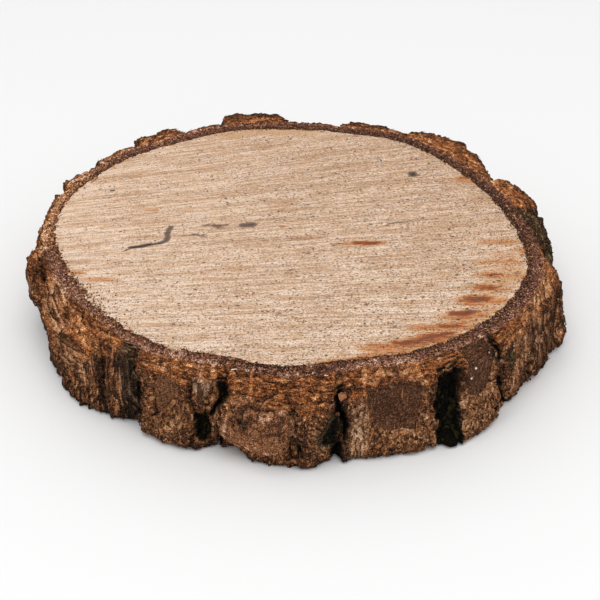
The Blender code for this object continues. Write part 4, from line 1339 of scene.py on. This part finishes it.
def strew(name, make, places, frames, tones, finish):
    """Copies of a master at those places, in millimetres, joined in one piece; frames hold three scaled axes."""
    form, faces = master_form(make)
    points = np.einsum("ka,nab->nkb", form, frames) + places[:, None, :]
    points[..., 2] = np.maximum(points[..., 2], FLOOR_CLEARANCE)
    placed = (points.reshape(-1, 3) + SLIDE) * MM
    numbers = faces[None] + np.arange(len(places))[:, None, None] * len(form)
    mesh = bpy.data.meshes.new(name)
    mesh.from_pydata(placed.tolist(), [], numbers.reshape(-1, 3).tolist())
    piece = bpy.data.objects.new(name, mesh)
    bpy.context.scene.collection.objects.link(piece)
    keep_mask(piece, "tone", np.repeat(tones, len(form)))
    mesh.materials.append(finish)
    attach(piece, "root")
    return piece


def frames_on(normals, heading, rise, long, wide, thick):
    """Axes for pieces that lie on a surface: the last axis runs along the heading, raised by an angle."""
    around = np.cross([0.0, 0.0, 1.0], normals)
    around /= np.maximum(np.linalg.norm(around, axis=1, keepdims=True), 1e-6)
    upward = np.cross(normals, around)
    heading, rise = np.radians(heading)[:, None], np.radians(rise)[:, None]
    flat = np.cos(heading) * around + np.sin(heading) * upward
    ahead = np.cos(rise) * flat + np.sin(rise) * normals
    off = np.cos(rise) * normals - np.sin(rise) * flat
    side = np.cross(off, ahead)
    return np.stack([off * thick[:, None], side * wide[:, None], ahead * long[:, None]], axis=1)


def strew_over(item, ground):
    """Strews one kind of loose piece over the bark where its mask allows."""
    draw = np.random.default_rng(item.seed)
    weights = np.clip(item.where(ground), 0.0, None) * ground["area"] * (ground["up"] > 2.0)
    picked = draw.choice(len(weights), item.count, p=weights / weights.sum())
    normals = ground["broad"][picked]
    heading = draw.normal(item.heading, item.swerve, item.count)
    rise = draw.uniform(item.rise[0], item.rise[1], item.count)
    long = draw.uniform(item.long[0], item.long[1], item.count)
    wide = draw.uniform(item.wide[0], item.wide[1], item.count)
    thick = wide * item.flat
    places = ground["point"][picked] - item.sunk * wide[:, None] * normals
    tones = np.clip(draw.normal(item.tone, item.tone_spread, item.count), 0.0, 1.0)
    frames = frames_on(normals, heading, rise, long, wide, thick)
    return strew(item.name, item.make, places, frames, tones, bpy.data.materials[item.finish])


def bark_ground(lengths):
    """Every point of the bark with its normal, its share of the surface and its masks."""
    ground = {}
    for points, masks in lengths:
        along = np.linalg.norm(np.gradient(points, axis=1), axis=-1)
        across = np.linalg.norm(np.gradient(points, axis=0), axis=-1)
        rows = {"point": points, "area": along * across, "up": points[..., 2], **masks}
        rows["broad"] = surface_normals(evened(points, BROAD_STEPS))
        rows["angle"] = np.degrees(np.arctan2(points[..., 1], points[..., 0])) % 360.0
        for name, values in rows.items():
            flat = values.reshape(-1, 3) if values.ndim == 3 else values.ravel()
            ground.setdefault(name, []).append(flat)
    return {name: np.concatenate(values) for name, values in ground.items()}


# Loose pieces on the bark. where: how thickly they lie; heading: 0 round the ring and 90 up it, with swerve
# to both sides; rise: how steeply they stand off the surface; flat: thickness as a share of the width;
# sunk: how deep they sit, in widths; tone: how light they are. Sizes in millimetres.
Loose = namedtuple("Loose", "name make finish count seed where heading swerve rise long wide flat sunk tone tone_spread")
LOOSE = (
    Loose("torn_fibres", fibre_master, "loose_bark", 1500, 11, lambda g: g["torn"] * (1.0 - g["moss"]),
          0.0, 12.0, (-3.0, 1.0), (1.2, 2.6), (0.18, 0.34), 0.7, 0.4, 0.45, 0.2),
    Loose("splinters", fibre_master, "loose_bark", 300, 12,
          lambda g: (g["rib"] > 0.55) * g["face"] * (1.0 - g["moss"]) * (1.0 - g["stain"]) * (g["angle"] > 206.0),
          90.0, 5.0, (-1.0, 1.0), (2.0, 4.5), (0.35, 0.7), 0.6, 0.6, 0.36, 0.16),
    Loose("scales", flake_master, "loose_bark", 260, 13, lambda g: g["rim"] * g["face"] * (1.0 - g["moss"]),
          80.0, 40.0, (70.0, 92.0), (0.25, 0.5), (1.2, 3.0), 0.7, 0.06, 0.5, 0.12),
    Loose("crumbs", crumb_master, "loose_bark", 4600, 14, lambda g: g["sawn"] + 0.12 * g["torn"],
          0.0, 90.0, (0.0, 90.0), (0.3, 0.9), (0.3, 0.9), 0.7, 0.0, 0.45, 0.25),
    Loose("sawdust", crumb_master, "pale_dust", 620, 15,
          lambda g: g["sawn"] * (0.25 + 0.8 * window(g["angle"], 300.0, 45.0) + 2.2 * window(g["angle"], 212.0, 9.0)),
          0.0, 90.0, (0.0, 90.0), (0.25, 0.75), (0.2, 0.5), 0.6, 0.0, 0.35, 0.3),
    Loose("face_flecks", crumb_master, "pale_dust", 260, 22, lambda g: g["face"] * (1.0 - g["moss"]) * (1.0 - g["depth"]),
          0.0, 90.0, (0.0, 90.0), (0.25, 0.7), (0.2, 0.5), 0.6, 0.0, 0.2, 0.25),
    Loose("splinter_crumbs", crumb_master, "pale_dust", 90, 23,
          lambda g: g["sawn"] * window(g["angle"], 244.2, 0.9) * np.exp(-((g["out"] * OUT_SCALE - 1.0) / 0.9) ** 2),
          0.0, 90.0, (0.0, 90.0), (0.4, 1.2), (0.3, 0.8), 0.6, 0.0, 0.4, 0.2),
    Loose("moss", blade_master, "moss", 7000, 16, lambda g: smooth(0.35, 0.8, g["moss"]) * g["face"],
          90.0, 70.0, (10.0, 60.0), (0.4, 1.0), (0.22, 0.45), 0.8, 0.3, 0.34, 0.22),
    Loose("frayed_rim", fibre_master, "loose_bark", 30, 17,
          lambda g: g["torn"] * window(g["angle"], 143.5, 1.8) * (g["up"] > 34.0),
          40.0, 35.0, (20.0, 65.0), (2.0, 5.0), (0.18, 0.28), 0.8, 0.2, 0.15, 0.1),
)

# Bits that show one by one. angle, height and out: where; the rest as above, with a size for each axis.
Bit = namedtuple("Bit", "name make finish angle height out heading rise long wide thick tone")
BITS = (
    Bit("orange_chip", crumb_master, "orange_chip", 281.6, 30.8, 12.4, 115.0, 10.0, 5.4, 3.6, 3.2, 0.5),
    Bit("orange_chip_low", crumb_master, "orange_chip", 282.5, 28.2, 12.4, 55.0, 25.0, 4.6, 3.0, 2.6, 0.3),
    Bit("pale_splinter", fibre_master, "pale_dust", 242.8, 40.1, 0.6, 2.0, 2.0, 6.0, 1.3, 0.6, 0.35),
    Bit("white_sliver_left", fibre_master, "pale_dust", 258.9, 39.9, 8.1, 20.0, 4.0, 2.6, 0.6, 0.4, 1.0),
    Bit("white_sliver_front", fibre_master, "pale_dust", 277.2, 39.7, 8.2, -8.0, 4.0, 3.2, 0.6, 0.4, 1.0),
    Bit("white_fleck_high", crumb_master, "pale_dust", 307.8, 34.5, 16.4, 60.0, 20.0, 1.0, 0.8, 0.7, 1.0),
    Bit("white_fleck_low", crumb_master, "pale_dust", 306.8, 30.5, 16.6, 60.0, 20.0, 0.9, 0.7, 0.7, 1.0),
    Bit("curled_splinter", fibre_master, "orange_chip", 149.6, 40.2, -1.2, 8.0, 5.0, 7.0, 0.9, 0.5, 0.5),
)


def add_loose(ground):
    """The loose fibres, scales, crumbs, sawdust and moss that lie on the bark."""
    loose_finish("loose_bark", LOOSE_SHADES, 0.9)
    loose_finish("pale_dust", DUST_SHADES, 0.5)
    loose_finish("moss", TUFT_SHADES, 0.12)
    loose_finish("orange_chip", CHIP_SHADES, 0.7)
    for item in LOOSE:
        strew_over(item, ground)
    for bit in BITS:
        turn = math.radians(bit.angle)
        radius = wood_radius(bit.angle) + bit.out
        place = np.array([[radius * math.cos(turn), radius * math.sin(turn), bit.height]])
        flat = bit.height > THICKNESS - 1.0
        normal = np.array([[0.01 * math.cos(turn), 0.01 * math.sin(turn), 1.0]] if flat else [[math.cos(turn), math.sin(turn), 0.0]])
        sizes = [np.array([value]) for value in (bit.heading, bit.rise, bit.long, bit.wide, bit.thick)]
        strew(bit.name, bit.make, place, frames_on(normal, *sizes), np.array([bit.tone]), bpy.data.materials[bit.finish])


def add_rim_crumbs():
    """Crumbs of bark that the saw left on the wood, thickest along its edge on the left."""
    draw = np.random.default_rng(RIM_SEED)
    angle = draw.uniform(0.0, 360.0, RIM_CRUMBS)
    leftness = np.exp(-((turn_between(angle, 213.0) / 13.0) ** 2))
    kept = draw.uniform(size=RIM_CRUMBS) < 0.16 + 0.84 * leftness
    angle, leftness = angle[kept], leftness[kept]
    inward = draw.exponential(0.5 + 1.9 * leftness)
    radius = wood_radius(angle) + 0.5 - inward
    turn = np.radians(angle)
    places = np.stack([radius * np.cos(turn), radius * np.sin(turn), np.full_like(angle, THICKNESS + 0.1)], axis=-1)
    size = draw.uniform(0.25, 0.75, (len(angle), 3))
    normals = np.stack([0.01 * np.cos(turn), 0.01 * np.sin(turn), np.ones_like(turn)], axis=-1)
    heading, rise = draw.uniform(0.0, 360.0, len(angle)), draw.uniform(0.0, 60.0, len(angle))
    frames = frames_on(normals, heading, rise, *size.T)
    tones = np.clip(draw.normal(0.38, 0.2, len(angle)), 0.0, 1.0)
    strew("rim_crumbs", crumb_master, places, frames, tones, bpy.data.materials["loose_bark"])


def add_floor():
    bpy.ops.object.select_all(action="DESELECT")
    bpy.ops.mesh.primitive_plane_add(size=6.0, location=(0.0, 0.0, -0.0001))
    floor = bpy.context.active_object
    floor.name = "floor"
    finish, tree, surface = new_finish("floor", 0.6)
    surface.inputs["Base Color"].default_value = (0.80, 0.80, 0.80, 1.0)
    floor.data.materials.append(finish)


def add_light(name, place, size, watts, colour=(1.0, 1.0, 1.0)):
    """A soft square light that looks at the slice."""
    light = bpy.data.lights.new(name, "AREA")
    light.size = size
    light.energy = watts
    light.color = colour
    lamp = bpy.data.objects.new(name, light)
    lamp.location = place
    lamp.rotation_euler = (-Vector(place)).to_track_quat("-Z", "Y").to_euler()
    bpy.context.scene.collection.objects.link(lamp)


def add_stage():
    add_floor()
    world = bpy.data.worlds.new("studio")
    bpy.context.scene.world = world
    world.use_nodes = True
    world.node_tree.nodes["Background"].inputs["Color"].default_value = (1.0, 1.0, 1.0, 1.0)
    world.node_tree.nodes["Background"].inputs["Strength"].default_value = 0.905
    add_light("softbox", (-0.07, -0.35, 1.25), 0.9, 6.6)
    bpy.context.scene.view_settings.view_transform = "Standard"


def add_camera():
    camera = bpy.data.cameras.new("camera")
    camera.lens = LENS
    camera.sensor_width = PHOTO_SIDE
    camera.sensor_fit = "HORIZONTAL"
    eye = bpy.data.objects.new("camera", camera)
    eye.location = (np.array(CAMERA_PLACE) + SLIDE) * MM
    eye.rotation_euler = (math.radians(CAMERA_TILT), 0.0, 0.0)
    bpy.context.scene.collection.objects.link(eye)
    bpy.context.scene.camera = eye


def main():
    make_effects()
    add_wood()
    lengths = [add_bark(length) for length in LENGTHS]
    add_loose(bark_ground(lengths))
    add_rim_crumbs()
    add_stage()
    add_camera()


main()
